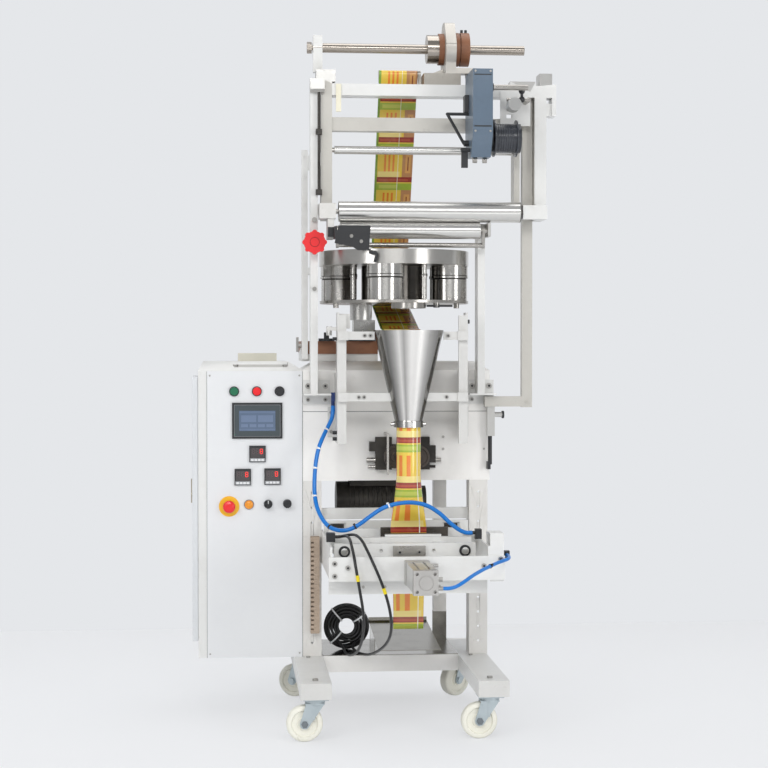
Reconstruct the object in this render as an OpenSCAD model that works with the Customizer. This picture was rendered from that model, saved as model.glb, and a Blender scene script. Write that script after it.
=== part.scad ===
// Tea packing machine: vertical form, fill and seal machine on casters.
// Millimetres. X to the right, Y away from the operator, Z up.
// Inside the modules X = 0 is the film tube's axis and Y = 0 is the front of the
// two front posts. The whole machine is then moved to put the origin under its middle.

/* [Base and casters] */
// Width of each leg
leg_w = 85; // [60:1:110]
// Height of each leg section
leg_h = 45; // [30:1:70]
// Height of the leg tops above the floor
leg_top = 165; // [140:1:220]
// Inner edge of the left leg
leg_l_x = -240; // [-300:1:-180]
// Inner edge of the right leg
leg_r_x = 162; // [120:1:220]
// Reach of the legs in front of the posts
leg_front = 432; // [300:1:500]
// Reach of the legs behind the front of the posts
leg_back = 290; // [240:1:300]
// Height of the crossbars
bar_h = 48; // [30:1:60]
// Depth of the crossbars
bar_d = 40; // [30:1:60]
// Caster wheel diameter
wheel_d = 100; // [80:1:120]
// Caster wheel width
wheel_w = 32; // [24:1:40]
// Offset from the swivel axis to the wheel axle
caster_trail = 30; // [20:1:40]
// Axle diameter
axle_d = 12; // [8:1:16]
// Running clearance of the caster axles and kingpins
run_gap = 0.06; // [0.02:0.01:0.10]
// Swivel axis distance in front of the posts
caster_front = 388; // [300:1:410]
// Swivel axis distance behind the front of the posts
caster_back = 238; // [180:1:260]
// Thickness of the caster's fixed top plate
caster_plate_t = 4; // [3:0.5:6]
// Side of the caster's fixed top plate
caster_plate_w = 70; // [60:1:85]

/* [Posts and body] */
// Width of each front post
post_w = 55; // [40:1:70]
// Depth of each front post
post_d = 60; // [40:1:80]
// Wall of the folded posts
post_t = 3; // [2:0.5:5]
// Left edge of the left post
post_l_x = -299; // [-320:1:-280]
// Left edge of the right post
post_r_x = 194; // [180:1:210]
// Underside of the body box
body_z0 = 683; // [600:1:750]
// Top edge of the body box
body_z1 = 1007; // [950:1:1050]
// Depth of the body and the cabinet
body_d = 300; // [260:1:400]
// Rise of the sloping top covers
cover_rise = 27; // [10:1:40]
// Run of the sloping edges of the covers
cover_run = 42; // [20:1:60]
// Radius of the holes in the post's front
post_hole_r = 3.5; // [2:0.5:5]
// Spacing of the post's upper holes
post_pitch_up = 44; // [30:1:60]
// Spacing of the post's lower holes
post_pitch_lo = 43; // [30:1:60]

/* [Cabinet] */
// Width of the cabinet shell
cab_w = 306; // [260:1:340]
// Underside of the cabinet
cab_z0 = 165; // [140:1:200]
// Sheet thickness of the cabinet
cab_t = 2; // [1.5:0.5:3]
// Width of the front panel
panel_w = 280; // [250:1:300]
// Thickness of the front panel
panel_t = 3; // [2:0.5:4]
// Thickness of the side door
door_t = 17; // [12:1:25]
// Bottom of the side door
door_z0 = 214; // [190:1:240]
// Top of the side door
door_z1 = 989; // [900:1:1000]
// Height of the door latch
latch_h = 70; // [50:1:90]

/* [Operator panel] */
// Height of the push button row
row_button_z = 947; // [900:1:980]
// Height of the lower switch row
row_switch_z = 615; // [560:1:660]
// Push button head radius
button_r = 12; // [10:0.5:14]
// Push button collar radius
collar_r = 14.5; // [13:0.5:17]
// Push button travel
button_travel = 4; // [2:0.5:6]
// Emergency stop plate radius
estop_plate_r = 30; // [25:1:45]
// Emergency stop head radius
estop_head_r = 18; // [14:1:22]
// Screen unit width
hmi_w = 147; // [120:1:200]
// Screen unit height
hmi_h = 105; // [80:1:150]
// Temperature controller face
tc_face = 48; // [36:1:60]
// Clearance round the push button stems
stem_gap = 0.3; // [0.2:0.05:0.5]

/* [Upper frame] */
// Width of the uprights
upright_w = 21; // [15:1:30]
// Depth of the uprights
upright_d = 60; // [40:1:80]
// Height of the first beam's top
beam1_z = 1840; // [1780:1:1900]
// Height of the first beam section
beam1_h = 34; // [25:1:50]
// Height of the second beam's top
beam2_z = 1743; // [1700:1:1780]
// Height of the second beam section
beam2_h = 39; // [25:1:50]
// Right end of the upper frame
frame_x1 = 441; // [400:1:460]
// Side of the tall post and its arm
tall_w = 30; // [25:1:40]
// Left face of the tall post
tall_x = 346; // [330:1:360]
// Big roller diameter
roller_a_d = 60; // [40:1:80]
// Big roller axis height
roller_a_z = 1467; // [1440:1:1490]
// Second roller diameter
roller_b_d = 48; // [30:1:60]
// Second roller axis height
roller_b_z = 1413; // [1400:1:1420]
// Dancer rod diameter
dancer_d = 14; // [10:1:18]
// Distance from the second roller's axis to the dancer rod
dancer_arm = 42; // [38:1:50]
// Height of the thin idler rod
idler_z = 1650; // [1600:1:1680]
// Thin idler rod diameter
idler_d = 24; // [16:1:30]
// Front distance of the two big rollers' axes
roller_y = 104; // [100:1:120]
// Roller spindle diameter
spindle_d = 14; // [10:1:18]

/* [Reel shaft] */
// Reel shaft diameter
reel_d = 28; // [20:1:35]
// Height of the reel shaft above the first beam
reel_rise = 112; // [105:1:130]
// Left end of the reel shaft
reel_x0 = -286; // [-300:1:-270]
// Right end of the reel shaft
reel_x1 = 356; // [320:1:400]
// Radius of the rounded reel plate
reel_plate_r = 78; // [60:1:90]
// Thickness of the reel plate
reel_plate_t = 30; // [20:1:40]
// Left face of the reel plate
reel_plate_x = 116; // [100:1:130]
// Brown chuck radius
chuck_r = 46; // [40:1:55]

/* [Printer] */
// Printer case width
printer_w = 57; // [50:1:70]
// Printer case depth
printer_d = 160; // [120:1:180]
// Left face of the printer case
printer_x = 173; // [160:1:190]
// Top of the printer case
printer_z1 = 1864; // [1840:1:1900]
// Bottom of the printer case's straight part
printer_z0 = 1680; // [1650:1:1700]
// Ribbon spool flange radius
spool_r = 53; // [40:1:60]

/* [Dosing head] */
// Dosing axis, left of the film tube
dose_x = -27; // [-60:1:0]
// Dosing axis, behind the front of the posts
dose_y = 35; // [20:1:60]
// Outer radius of the pan
pan_r = 221; // [200:1:240]
// Space between the cups and the outer edge of the pan
cup_margin = 1; // [1:0.5:10]
// Outer radius of each cup
cup_r = 54; // [40:1:60]
// Wall of each cup
cup_t = 2; // [1.5:0.5:4]
// Number of cups
cup_n = 4; // [3:1:6]
// Turn of the first cup
cup_a = -14; // [-90:1:90]
// Height of the fixed plate's underside
plate_z = 1204; // [1180:1:1220]
// Thickness of the fixed plate
plate_t = 8; // [5:1:12]
// Height of the pan floor's underside
pan_z = 1315; // [1290:1:1330]
// Height of the pan rim
pan_h = 42; // [30:1:60]
// Running gap of the cups over the plate
cup_gap = 0.4; // [0.3:0.1:1]

/* [Funnel] */
// Film tube axis, in front of the posts
tube_y = -130; // [-150:1:-110]
// Funnel mouth radius
funnel_r1 = 101; // [90:1:115]
// Funnel neck radius
funnel_r0 = 40; // [38:1:50]
// Funnel mouth height
funnel_z1 = 1125; // [1100:1:1140]
// Height of the collar's underside
funnel_z0 = 846; // [830:1:860]
// Height of the neck collar
neck_h = 18; // [12:1:24]
// Forming tube radius
form_r = 34; // [30:1:36]
// Film tube outer radius
film_r = 35.5; // [34.4:0.1:37]
// Film thickness as drawn
film_t = 0.5; // [0.4:0.1:1]
// Width of the film web
web_w = 114; // [90:1:140]
// Middle of the film web
web_x = -15; // [-30:1:10]
// Width of the flattened film at the jaws
flat_w = 104; // [90:1:110]

/* [Jaws] */
// Front face of the jaw channel, in front of the posts
channel_y = 430; // [400:1:460]
// Top of the side arms
arm_z1 = 534; // [520:1:550]
// Bottom of the side arms and the channel
arm_z0 = 441; // [430:1:450]
// Top of the channel
channel_z1 = 507; // [490:1:515]
// Sheet of the arms and the channel
arm_t = 6; // [4:1:8]
// Guide rod diameter
rod_d = 20; // [16:1:25]
// Left guide rod
rod_l_x = -199; // [-210:1:-190]
// Right guide rod
rod_r_x = 137; // [130:1:150]
// Guide rod height
rod_z = 511; // [500:1:515]
// Running clearance of the guide bushes
bush_gap = 0.05; // [0.02:0.01:0.10]
// Travel of each jaw
jaw_travel = 34; // [20:1:36]
// Air cylinder square
cyl_w = 65; // [60:1:75]
// Air cylinder body length
cyl_l = 238; // [200:1:260]
// Air cylinder axis, from the film tube's axis
cyl_x = -10; // [-20:1:0]
// Piston rod diameter
piston_d = 20; // [16:1:22]

/* [Hidden] */
$fn = 64;
cup_ring_r = pan_r - cup_margin - cup_r;

// Extents that place the origin.
door_x0 = post_l_x - cab_w - door_t - 0.6;
latch_out = 3.6;
cyl_y0 = -channel_y - cyl_l;
reel_z = beam1_z + reel_rise;
off_x = -(door_x0 - latch_out + frame_x1) / 2;
off_y = -(cyl_y0 + body_d) / 2;

cab_x0 = post_l_x - cab_w;
cab_x1 = post_l_x;
body_x1 = post_r_x + post_w + 6;
panel_x0 = cab_x1 - panel_w;
col = post_l_x + post_w;
white = [0.90, 0.90, 0.90];
steel = [0.72, 0.73, 0.74];
dark = [0.12, 0.12, 0.13];
brown = [0.48, 0.29, 0.20];
alu = [0.78, 0.78, 0.80];
eps = 0.01;

// A box from its low corner to its high corner.
module bb(a, b) {
    translate(a) cube([b[0] - a[0], b[1] - a[1], b[2] - a[2]]);
}

// A cylinder along X, from x0 to x1.
module cx(x0, x1, y, z, r) {
    translate([x0, y, z]) rotate([0, 90, 0]) cylinder(h = x1 - x0, r = r);
}

// A cylinder along Y, from y0 to y1.
module cy(x, y0, y1, z, r) {
    translate([x, y0, z]) rotate([-90, 0, 0]) cylinder(h = y1 - y0, r = r);
}

// A cylinder along Z, from z0 to z1.
module cz(x, y, z0, z1, r) {
    translate([x, y, z0]) cylinder(h = z1 - z0, r = r);
}

// A hexagon socket screw head standing on a face that looks to -Y.
module screw_y(x, y, z, r = 5, h = 4) {
    difference() {
        cy(x, y - h, y, z, r);
        translate([x, y - h - eps, z]) rotate([-90, 0, 0]) cylinder(h = h * 0.6, r = r * 0.5, $fn = 6);
    }
}

// A hexagon screw head standing on a face that looks up.
module screw_z(x, y, z, r = 6, h = 4) {
    translate([x, y, z]) cylinder(h = h, r = r, $fn = 6);
}

module place() {
    translate([off_x, off_y, 0]) children();
}

// Middle lines of the hoses and cables.
hose_l_pts = [[-213, -45, 906], [-213, -45, 890], [-217, -51, 868], [-228, -64, 846], [-242, -78, 820],
    [-256, -92, 788], [-265, -104, 750], [-270, -115, 705], [-271, -128, 660], [-266, -150, 622],
    [-254, -178, 592], [-236, -204, 570], [-211, -224, 560], [-182, -238, 562], [-152, -243, 577],
    [-120, -241, 600], [-84, -236, 622], [-44, -231, 634], [0, -229, 637], [42, -230, 628],
    [78, -233, 606], [106, -236, 580], [132, -238, 560], [153, -239, 551], [170, -239, 551]];
hose_l_end = hose_l_pts[len(hose_l_pts) - 1];
hose_r_pts = [[36, -654, 450], [52, -654, 450], [68, -650, 453], [84, -640, 459], [102, -622, 467],
    [122, -596, 475], [143, -566, 481], [164, -537, 486], [184, -510, 490], [204, -484, 494],
    [223, -462, 497], [239, -441, 499], [246, -420, 500], [249, -401, 501], [249, -384, 502],
    [249, -368, 502]];
hose_r_end = hose_r_pts[len(hose_r_pts) - 1];
cable_a_pts = [[-222, -284, 547], [-210, -284, 547], [-198, -298, 551], [-190, -334, 553], [-186, -372, 547],
    [-184, -404, 534], [-181, -430, 516], [-177, -446, 488], [-171, -450, 452], [-164, -443, 412],
    [-156, -424, 370], [-150, -392, 328], [-148, -346, 288], [-149, -286, 250], [-153, -216, 217],
    [-158, -146, 195], [-163, -80, 181], [-168, -28, 173.5], [-172, 16, 171.4], [-175, 54, 175],
    [-176, 84.9, 190]];
cable_b_pts = [[-222, -270, 547], [-206, -270, 547], [-187, -283, 552], [-172, -312, 556], [-163, -350, 555],
    [-154, -392, 546], [-144, -426, 526], [-131, -448, 497], [-115, -457, 460], [-99, -454, 418],
    [-85, -438, 372], [-76, -408, 326], [-74, -362, 285], [-80, -302, 250], [-91, -234, 222],
    [-102, -162, 200], [-111, -94, 184], [-121, -34, 174.5], [-134, 14, 171.4], [-145, 54, 175],
    [-150, 84.9, 191]];

/* Base */

leg_cx_l = leg_l_x - leg_w / 2;
leg_cx_r = leg_r_x + leg_w / 2;
leg_z0 = leg_top - leg_h;
// Swivel axes of the four casters and the turn of each fork about Z.
casters = [[leg_cx_l, -caster_front, 180], [leg_cx_r - 6, -caster_front, 180],
    [leg_cx_l - 4, caster_back, 150], [leg_cx_r, caster_back, 215]];
plate_z0 = leg_z0 - caster_plate_t;
race_h = 8;
fork_z = plate_z0 - race_h - 0.4;
kingpin_r = 7;

module leg(x0) {
    difference() {
        bb([x0, -leg_front, leg_z0], [x0 + leg_w, leg_back, leg_top]);
        bb([x0 + 3, -leg_front + 3, leg_z0 - 1], [x0 + leg_w - 3, leg_back - 3, leg_top - 3]);
    }
    bb([x0 + 2, -caster_front - 40, leg_z0], [x0 + leg_w - 2, -caster_front + 40, leg_z0 + 3]);
    bb([x0 + 2, caster_back - 40, leg_z0], [x0 + leg_w - 2, caster_back + 40, leg_z0 + 3]);
}

module base_frame() {
    color(white) {
        leg(leg_l_x - leg_w);
        leg(leg_r_x);
        bb([leg_l_x, 0, leg_top - bar_h], [leg_r_x, bar_d, leg_top]);
        bb([leg_l_x, leg_back - bar_d, leg_top - bar_h], [leg_r_x, leg_back, leg_top]);
        for (c = [0, 1]) {
            screw_z(casters[c][0], -caster_front, leg_top, 8, 6);
            screw_z(casters[c][0] - 2, -18, leg_top, 6, 4);
        }
        for (c = casters) {
            bb([c[0] - caster_plate_w / 2, c[1] - caster_plate_w / 2, plate_z0],
                [c[0] + caster_plate_w / 2, c[1] + caster_plate_w / 2, leg_z0]);
            cz(c[0], c[1], plate_z0 - race_h, plate_z0, 27);
            cz(c[0], c[1], fork_z - 6, plate_z0, kingpin_r);
            cz(c[0], c[1], fork_z - 10, fork_z - 5.6, 11);
        }
    }
}

wheel_r = wheel_d / 2;
fork_in = wheel_w / 2 + 2;
module fork_cad(c) {
    place() translate([c[0], c[1], 0]) rotate(c[2]) color([0.62, 0.68, 0.72]) difference() {
        union() {
            cz(0, 0, fork_z - 5, fork_z, 26);
            for (s = [-1, 1]) {
                y0 = s > 0 ? fork_in : -fork_in - 4;
                hull() {
                    bb([-22, y0, fork_z - 5], [26, y0 + 4, fork_z - 1]);
                    cy(caster_trail, y0, y0 + 4, wheel_r, 13);
                }
                bb([2, s > 0 ? fork_in + 3 : -fork_in - 6, wheel_r + 12],
                    [8, s > 0 ? fork_in + 6 : -fork_in - 3, fork_z - 8]);
            }
            bb([-24, -fork_in - 4, fork_z - 5], [28, fork_in + 4, fork_z - 1]);
            cy(caster_trail, -fork_in - 9, fork_in + 9, wheel_r, axle_d / 2);
            for (s = [-1, 1]) translate([caster_trail, s * (fork_in + 6.5), wheel_r])
                rotate([90, 0, 0]) cylinder(h = 6, r = 10, center = true, $fn = 6);
        }
        cz(0, 0, fork_z - 6, fork_z + 1, kingpin_r + run_gap);
    }
}

module wheel_cad(c) {
    place() translate([c[0], c[1], 0]) rotate(c[2]) color([0.93, 0.92, 0.84])
    translate([caster_trail, 0, wheel_r]) rotate([90, 0, 0])
    rotate_extrude($fn = 96) polygon([[axle_d / 2 + run_gap, -wheel_w / 2], [18, -wheel_w / 2],
        [20, -wheel_w / 2 + 5], [34, -wheel_w / 2 + 5], [37, -wheel_w / 2], [wheel_r - 6, -wheel_w / 2],
        [wheel_r - 1.5, -wheel_w / 2 + 3], [wheel_r, -wheel_w / 2 + 8], [wheel_r, wheel_w / 2 - 8],
        [wheel_r - 1.5, wheel_w / 2 - 3], [wheel_r - 6, wheel_w / 2], [37, wheel_w / 2],
        [34, wheel_w / 2 - 5], [20, wheel_w / 2 - 5], [18, wheel_w / 2], [axle_d / 2 + run_gap, wheel_w / 2]]);
}

module base_tray() {
    color(steel) {
        bb([leg_l_x, 0, leg_top], [leg_r_x, leg_back, leg_top + 2]);
        // Sloping discharge chute on two side cheeks.
        difference() {
            translate([-88, 0, 0]) rotate([90, 0, 90]) linear_extrude(180)
                polygon([[-150, 203], [220, 233], [220, 245], [218, 245], [218, 235], [-150, 205]]);
        }
        for (x = [-86, 88]) translate([x, 0, 0]) rotate([90, 0, 90]) linear_extrude(2)
            polygon([[20, leg_top + 2], [200, leg_top + 2], [200, 231.3], [20, 216.7]]);
        bb([118, leg_back - 4, leg_top + 2], [leg_r_x, leg_back, 255]);
    }
}

post_holes = [for (i = [0:2]) 648 - i * post_pitch_up, for (i = [0:4]) 205 + i * post_pitch_lo];
module post(x0) {
    difference() {
        bb([x0, 0, leg_top], [x0 + post_w, post_d, body_z0]);
        bb([x0 + post_t, post_t, leg_top - 1], [x0 + post_w - post_t, post_d + 1, body_z0 + 1]);
        for (z = post_holes) cy(x0 + post_w / 2, -1, post_t + 1, z, post_hole_r);
    }
}

module posts() {
    color(white) {
        post(post_l_x);
        post(post_r_x);
        // Rear posts under the body.
        for (x = [-299, 118]) difference() {
            bb([x, body_d - 44, leg_top + (x > 0 ? 90 : 0)], [x + 40, body_d - 10, body_z0]);
            bb([x + 3, body_d - 41, leg_top - 1], [x + 37, body_d - 9, body_z0 + 1]);
        }
    }
}

module cover(x0, x1, y0, y1, z, rise, run) {
    hull() {
        bb([x0, y0, z], [x1, y1, z + 1]);
        bb([x0 + run, y0 + run, z], [x1 - run, y1 - run, z + rise]);
    }
}

module machine_body() {
    color(white) {
        difference() {
            bb([post_l_x, 0, body_z0], [body_x1, body_d, body_z1]);
            // Seam between the upper and the lower front panel.
            bb([post_l_x - 1, -1, 886], [body_x1 + 1, 0.8, 887.5]);
            cy(-148, -1, 3, 982, 5);
        }
        cover(post_l_x, body_x1, 0, body_d, body_z1, cover_rise, cover_run);
        for (z = [775, 811]) screw_y(116, 0, z, 4, 2);
        screw_y(238, 0, 775, 3, 1.5);
        screw_z(246, 30, body_z1 + 1, 5, 4);
    }
    // Drive motor hanging under the body.
    color(dark) {
        cx(-190, 60, 190, 612, 55);
        bb([-150, 150, 655], [20, 230, body_z0]);
        cx(60, 84, 190, 612, 40);
    }
}

/* Cabinet */

module cabinet_shell() {
    color(white) {
        difference() {
            bb([cab_x0, 0, cab_z0], [cab_x1, body_d, body_z1]);
            bb([cab_x0 - 1, 26, door_z0 + 16], [cab_x1 - cab_t, body_d - 26, door_z1 - 16]);
            bb([cab_x0 + 25, cab_t, door_z0 + 16], [cab_x1 - cab_t, body_d - cab_t, door_z1 - 16]);
        }
        hull() {
            bb([cab_x0, 0, body_z1], [cab_x1, body_d, body_z1 + 1]);
            bb([cab_x0 + 14, cover_run, body_z1], [cab_x1 - cover_run, body_d - cover_run, body_z1 + cover_rise]);
        }
        for (x = [-495, -350]) screw_z(x, 22, body_z1 + 10, 8, 8);
        // Plate with rails and modules inside.
        bb([cab_x0 + 60, body_d - 14, 260], [cab_x1 - 30, body_d - cab_t, 960]);
        for (z = [380, 560, 740]) {
            bb([cab_x0 + 70, body_d - 22, z], [cab_x1 - 40, body_d - 14, z + 35]);
            for (i = [0:3]) bb([cab_x0 + 76 + i * 44, body_d - 82, z - 25],
                [cab_x0 + 112 + i * 44, body_d - 22, z + 55]);
        }
        // Hinge leaves with their pins, at the rear edge of the door.
        for (z = [300, 860]) {
            bb([cab_x0 - 10, body_d - 3, z], [cab_x0 + 1, body_d, z + 10]);
            cz(cab_x0 - door_t / 2 - 0.6, body_d - 8, z, z + 60, 3);
            bb([cab_x0 - 13, body_d - 12, z], [cab_x0 + 1, body_d - 1, z + 10]);
        }
    }
    color([0.80, 0.79, 0.73]) bb([-487, 150, body_z1 + cover_rise], [-371, 210, body_z1 + cover_rise + 24]);
}

module cabinet_front() {
    color([0.87, 0.88, 0.89]) difference() {
        bb([panel_x0, -panel_t, cab_z0], [cab_x1 - 1.5, 0, body_z1 - 1]);
        for (x = [panel_x0 + 8, cab_x1 - 10]) for (z = [cab_z0 + 12, body_z1 - 14])
            cy(x, -panel_t - 1, -panel_t + 1, z, 3);
    }
}

door_hx = cab_x0 - door_t / 2 - 0.6;
door_hy = body_d - 8;
module side_door() {
    color([0.84, 0.84, 0.85]) difference() {
        union() {
            bb([cab_x0 - 0.6 - door_t, 4, door_z0], [cab_x0 - 0.6, body_d - 18, door_z1]);
            for (z = [300, 860]) {
                cz(door_hx, door_hy, z + 10.5, z + 58, 6.5);
                bb([door_hx - 3, body_d - 19, z + 10.5], [door_hx + 3, door_hy, z + 58]);
            }
        }
        for (z = [300, 860]) cz(door_hx, door_hy, z, z + 60, 3 + run_gap);
        bb([cab_x0 - door_t + 1.4, 7, door_z0 + 3], [cab_x0 + 1, body_d - 21, door_z1 - 3]);
        cx(cab_x0 - door_t - 2, cab_x0, 20, (609 + 679) / 2, 5 + run_gap);
    }
}

latch_z = 644;
module door_latch() {
    color([0.70, 0.66, 0.60]) {
        cx(door_x0 - 0.6, cab_x0 - 6, 20, latch_z, 5);
        cx(door_x0 - latch_out, door_x0 - 0.6, 20, latch_z, 11);
        bb([door_x0 - latch_out, 12, latch_z - 24], [door_x0 - 0.6, 28, latch_z + latch_h - 24]);
        bb([cab_x0 - 9, 11, latch_z - 8], [cab_x0 - 6, 60, latch_z + 8]);
    }
}

/* Operator panel */

face_y = -panel_t;
buttons_x = [-500, -433.5, -367];
switch_x = [-515, -457, -401, -345];

module hmi_unit() {
    x0 = -506;
    z0 = 808.5;
    color([0.23, 0.25, 0.26]) difference() {
        bb([x0, face_y - 6, z0], [x0 + hmi_w, face_y, z0 + hmi_h]);
        bb([x0 + 20, face_y - 7, z0 + 22], [x0 + hmi_w - 20, face_y - 5, z0 + hmi_h - 23]);
        difference() {
            bb([x0 + 6, face_y - 7, z0 + 6], [x0 + hmi_w - 6, face_y - 5.5, z0 + hmi_h - 6]);
            bb([x0 + 7, face_y - 8, z0 + 7], [x0 + hmi_w - 7, face_y - 5, z0 + hmi_h - 7]);
        }
    }
}

tc_pos = [[-456, 739.5], [-499, 672], [-412, 673]];
module controllers() {
    color(dark) for (p = tc_pos) {
        difference() {
            bb([p[0], face_y - 7, p[1]], [p[0] + tc_face, face_y, p[1] + tc_face]);
            bb([p[0] + 3, face_y - 8, p[1] + 12], [p[0] + tc_face - 3, face_y - 6, p[1] + tc_face - 5]);
        }
        for (i = [0:3]) bb([p[0] + 5 + i * 10, face_y - 8, p[1] + 3.5],
            [p[0] + 13 + i * 10, face_y - 7, p[1] + 9.5]);
    }
}

module collar(x, z, r, r0, h = 3) {
    difference() {
        cy(x, face_y - h, face_y, z, r);
        cy(x, face_y - h - 1, face_y + 1, z, r0);
    }
}

module panel_collars() {
    color([0.45, 0.46, 0.47]) {
        for (x = buttons_x) {
            collar(x, row_button_z, collar_r, button_r + stem_gap, 6);
        }
        collar(switch_x[2], row_switch_z + 1, 13, 6 + stem_gap, 4);
        collar(switch_x[3], row_switch_z + 2, 13, 6 + stem_gap, 4);
    }
    color([0.95, 0.60, 0.12]) {
        cy(switch_x[1], face_y - 7, face_y, row_switch_z, 12.5);
    }
}

module estop_plate() {
    color([0.98, 0.78, 0.08]) collar(switch_x[0], row_switch_z - 5, estop_plate_r, 7 + stem_gap, 2);
    color([0.30, 0.30, 0.31]) translate([0, -2, 0])
        collar(switch_x[0], row_switch_z - 5, 14, 7 + stem_gap, 7);
}

// A push button: a flat head over a stem that slides in its collar.
module push_button(x, c) {
    color(c) difference() {
        cy(x, face_y - 12, face_y - 0.4 - button_travel, row_button_z, button_r);
        translate([x, face_y - 12, row_button_z]) rotate([90, 0, 0]) difference() {
            translate([0, 0, -1]) cylinder(h = 2, r = button_r + 1);
            translate([0, 0, -1.1]) cylinder(h = 2.2, r1 = button_r + 0.1, r2 = button_r - 2);
        }
    }
}
module button_green() { push_button(buttons_x[0], [0.03, 0.40, 0.27]); }
module button_red() { push_button(buttons_x[1], [0.90, 0.06, 0.07]); }
module button_black() { push_button(buttons_x[2], [0.15, 0.16, 0.17]); }

module estop_head() {
    color([0.85, 0.08, 0.07]) translate([switch_x[0], face_y, row_switch_z - 5]) rotate([90, 0, 0])
        rotate_extrude($fn = 72) polygon([[0, 4], [7, 4], [7, 15], [estop_head_r - 2, 15],
            [estop_head_r, 17], [estop_head_r, 23], [estop_head_r - 3, 27], [8, 29], [0, 29.5]]);
}

module selector_knob() {
    color(dark) {
        cy(switch_x[2], face_y - 18, face_y - 0.4, row_switch_z + 1, 6);
        cy(switch_x[2], face_y - 9, face_y - 4.4, row_switch_z + 1, 12);
        bb([switch_x[2] - 4, face_y - 20, row_switch_z - 11], [switch_x[2] + 4, face_y - 8, row_switch_z + 13]);
    }
}

module key_knob() {
    color(dark) {
        cy(switch_x[3], face_y - 6, face_y - 0.4, row_switch_z + 2, 6);
        difference() {
            cy(switch_x[3], face_y - 22, face_y - 4.4, row_switch_z + 2, 12);
            for (a = [0:30:330]) translate([switch_x[3] + 13 * cos(a), face_y - 22.5, row_switch_z + 2 + 13 * sin(a)])
                rotate([-90, 0, 0]) cylinder(h = 12, r = 2, $fn = 16);
        }
    }
}

/* Upper frame */

up_y0 = -5 - upright_d;
idler_pin_r = 7;
foot_t = 6;
up_l_x = -279;
up_r_x = 210;
frame_z0 = 1445;
module foot(x0) {
    bb([x0, -foot_t, 909], [x0 + 79, 0, 980]);
    bb([x0, up_y0, 936], [x0 + 79, -foot_t, 941]);
    for (x = [x0 + 14, x0 + 65]) {
        screw_y(x, -foot_t, 962, 8, 5);
        if (x < 240) screw_y(x, -foot_t, 922, 6, 3);
    }
}

module uprights() {
    color(white) {
        foot(-298);
        foot(187);
        bb([up_l_x, up_y0, 941], [up_l_x + upright_w, -5, beam1_z + 5]);
        bb([up_r_x, up_y0, 941], [up_r_x + upright_w, -5, 1436]);
        // Thin angle strip behind the left upright.
        bb([-299, 60, 1040], [-281, 64, 1660]);
        bb([-299, 60, 1040], [-296, 84, 1660]);
        for (z = [1500, 1580, 1640]) screw_y(-290, 60, z, 4, 3);
        bb([-281, -5, 1600], [-264, 64, 1640]);
        bb([-281, -5, 1290], [-264, 64, 1310]);
    }
    color(steel) {
        // Clamp screws and the dark locking rod in front of the left upright.
        cz(-255, up_y0 - 12, 1532, 1812, 4);
        bb([-264, up_y0 - 18, 1690], [-246, up_y0, 1706]);
        bb([-264, up_y0 - 18, 1516], [-246, up_y0, 1532]);
        cy(-268, up_y0 - 12, up_y0, 1245, 6);
        cy(-268, up_y0 - 10, up_y0, 1445, 7);
    }
    // Push-in fitting of the left hose at the end of the foot shelf.
    color([0.06, 0.12, 0.35]) {
        bb([-219, -54, 918], [-207.5, -36, 944]);
        cz(hose_l_pts[0][0], hose_l_pts[0][1], hose_l_pts[0][2], 918, 5.5);
    }
}

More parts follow.
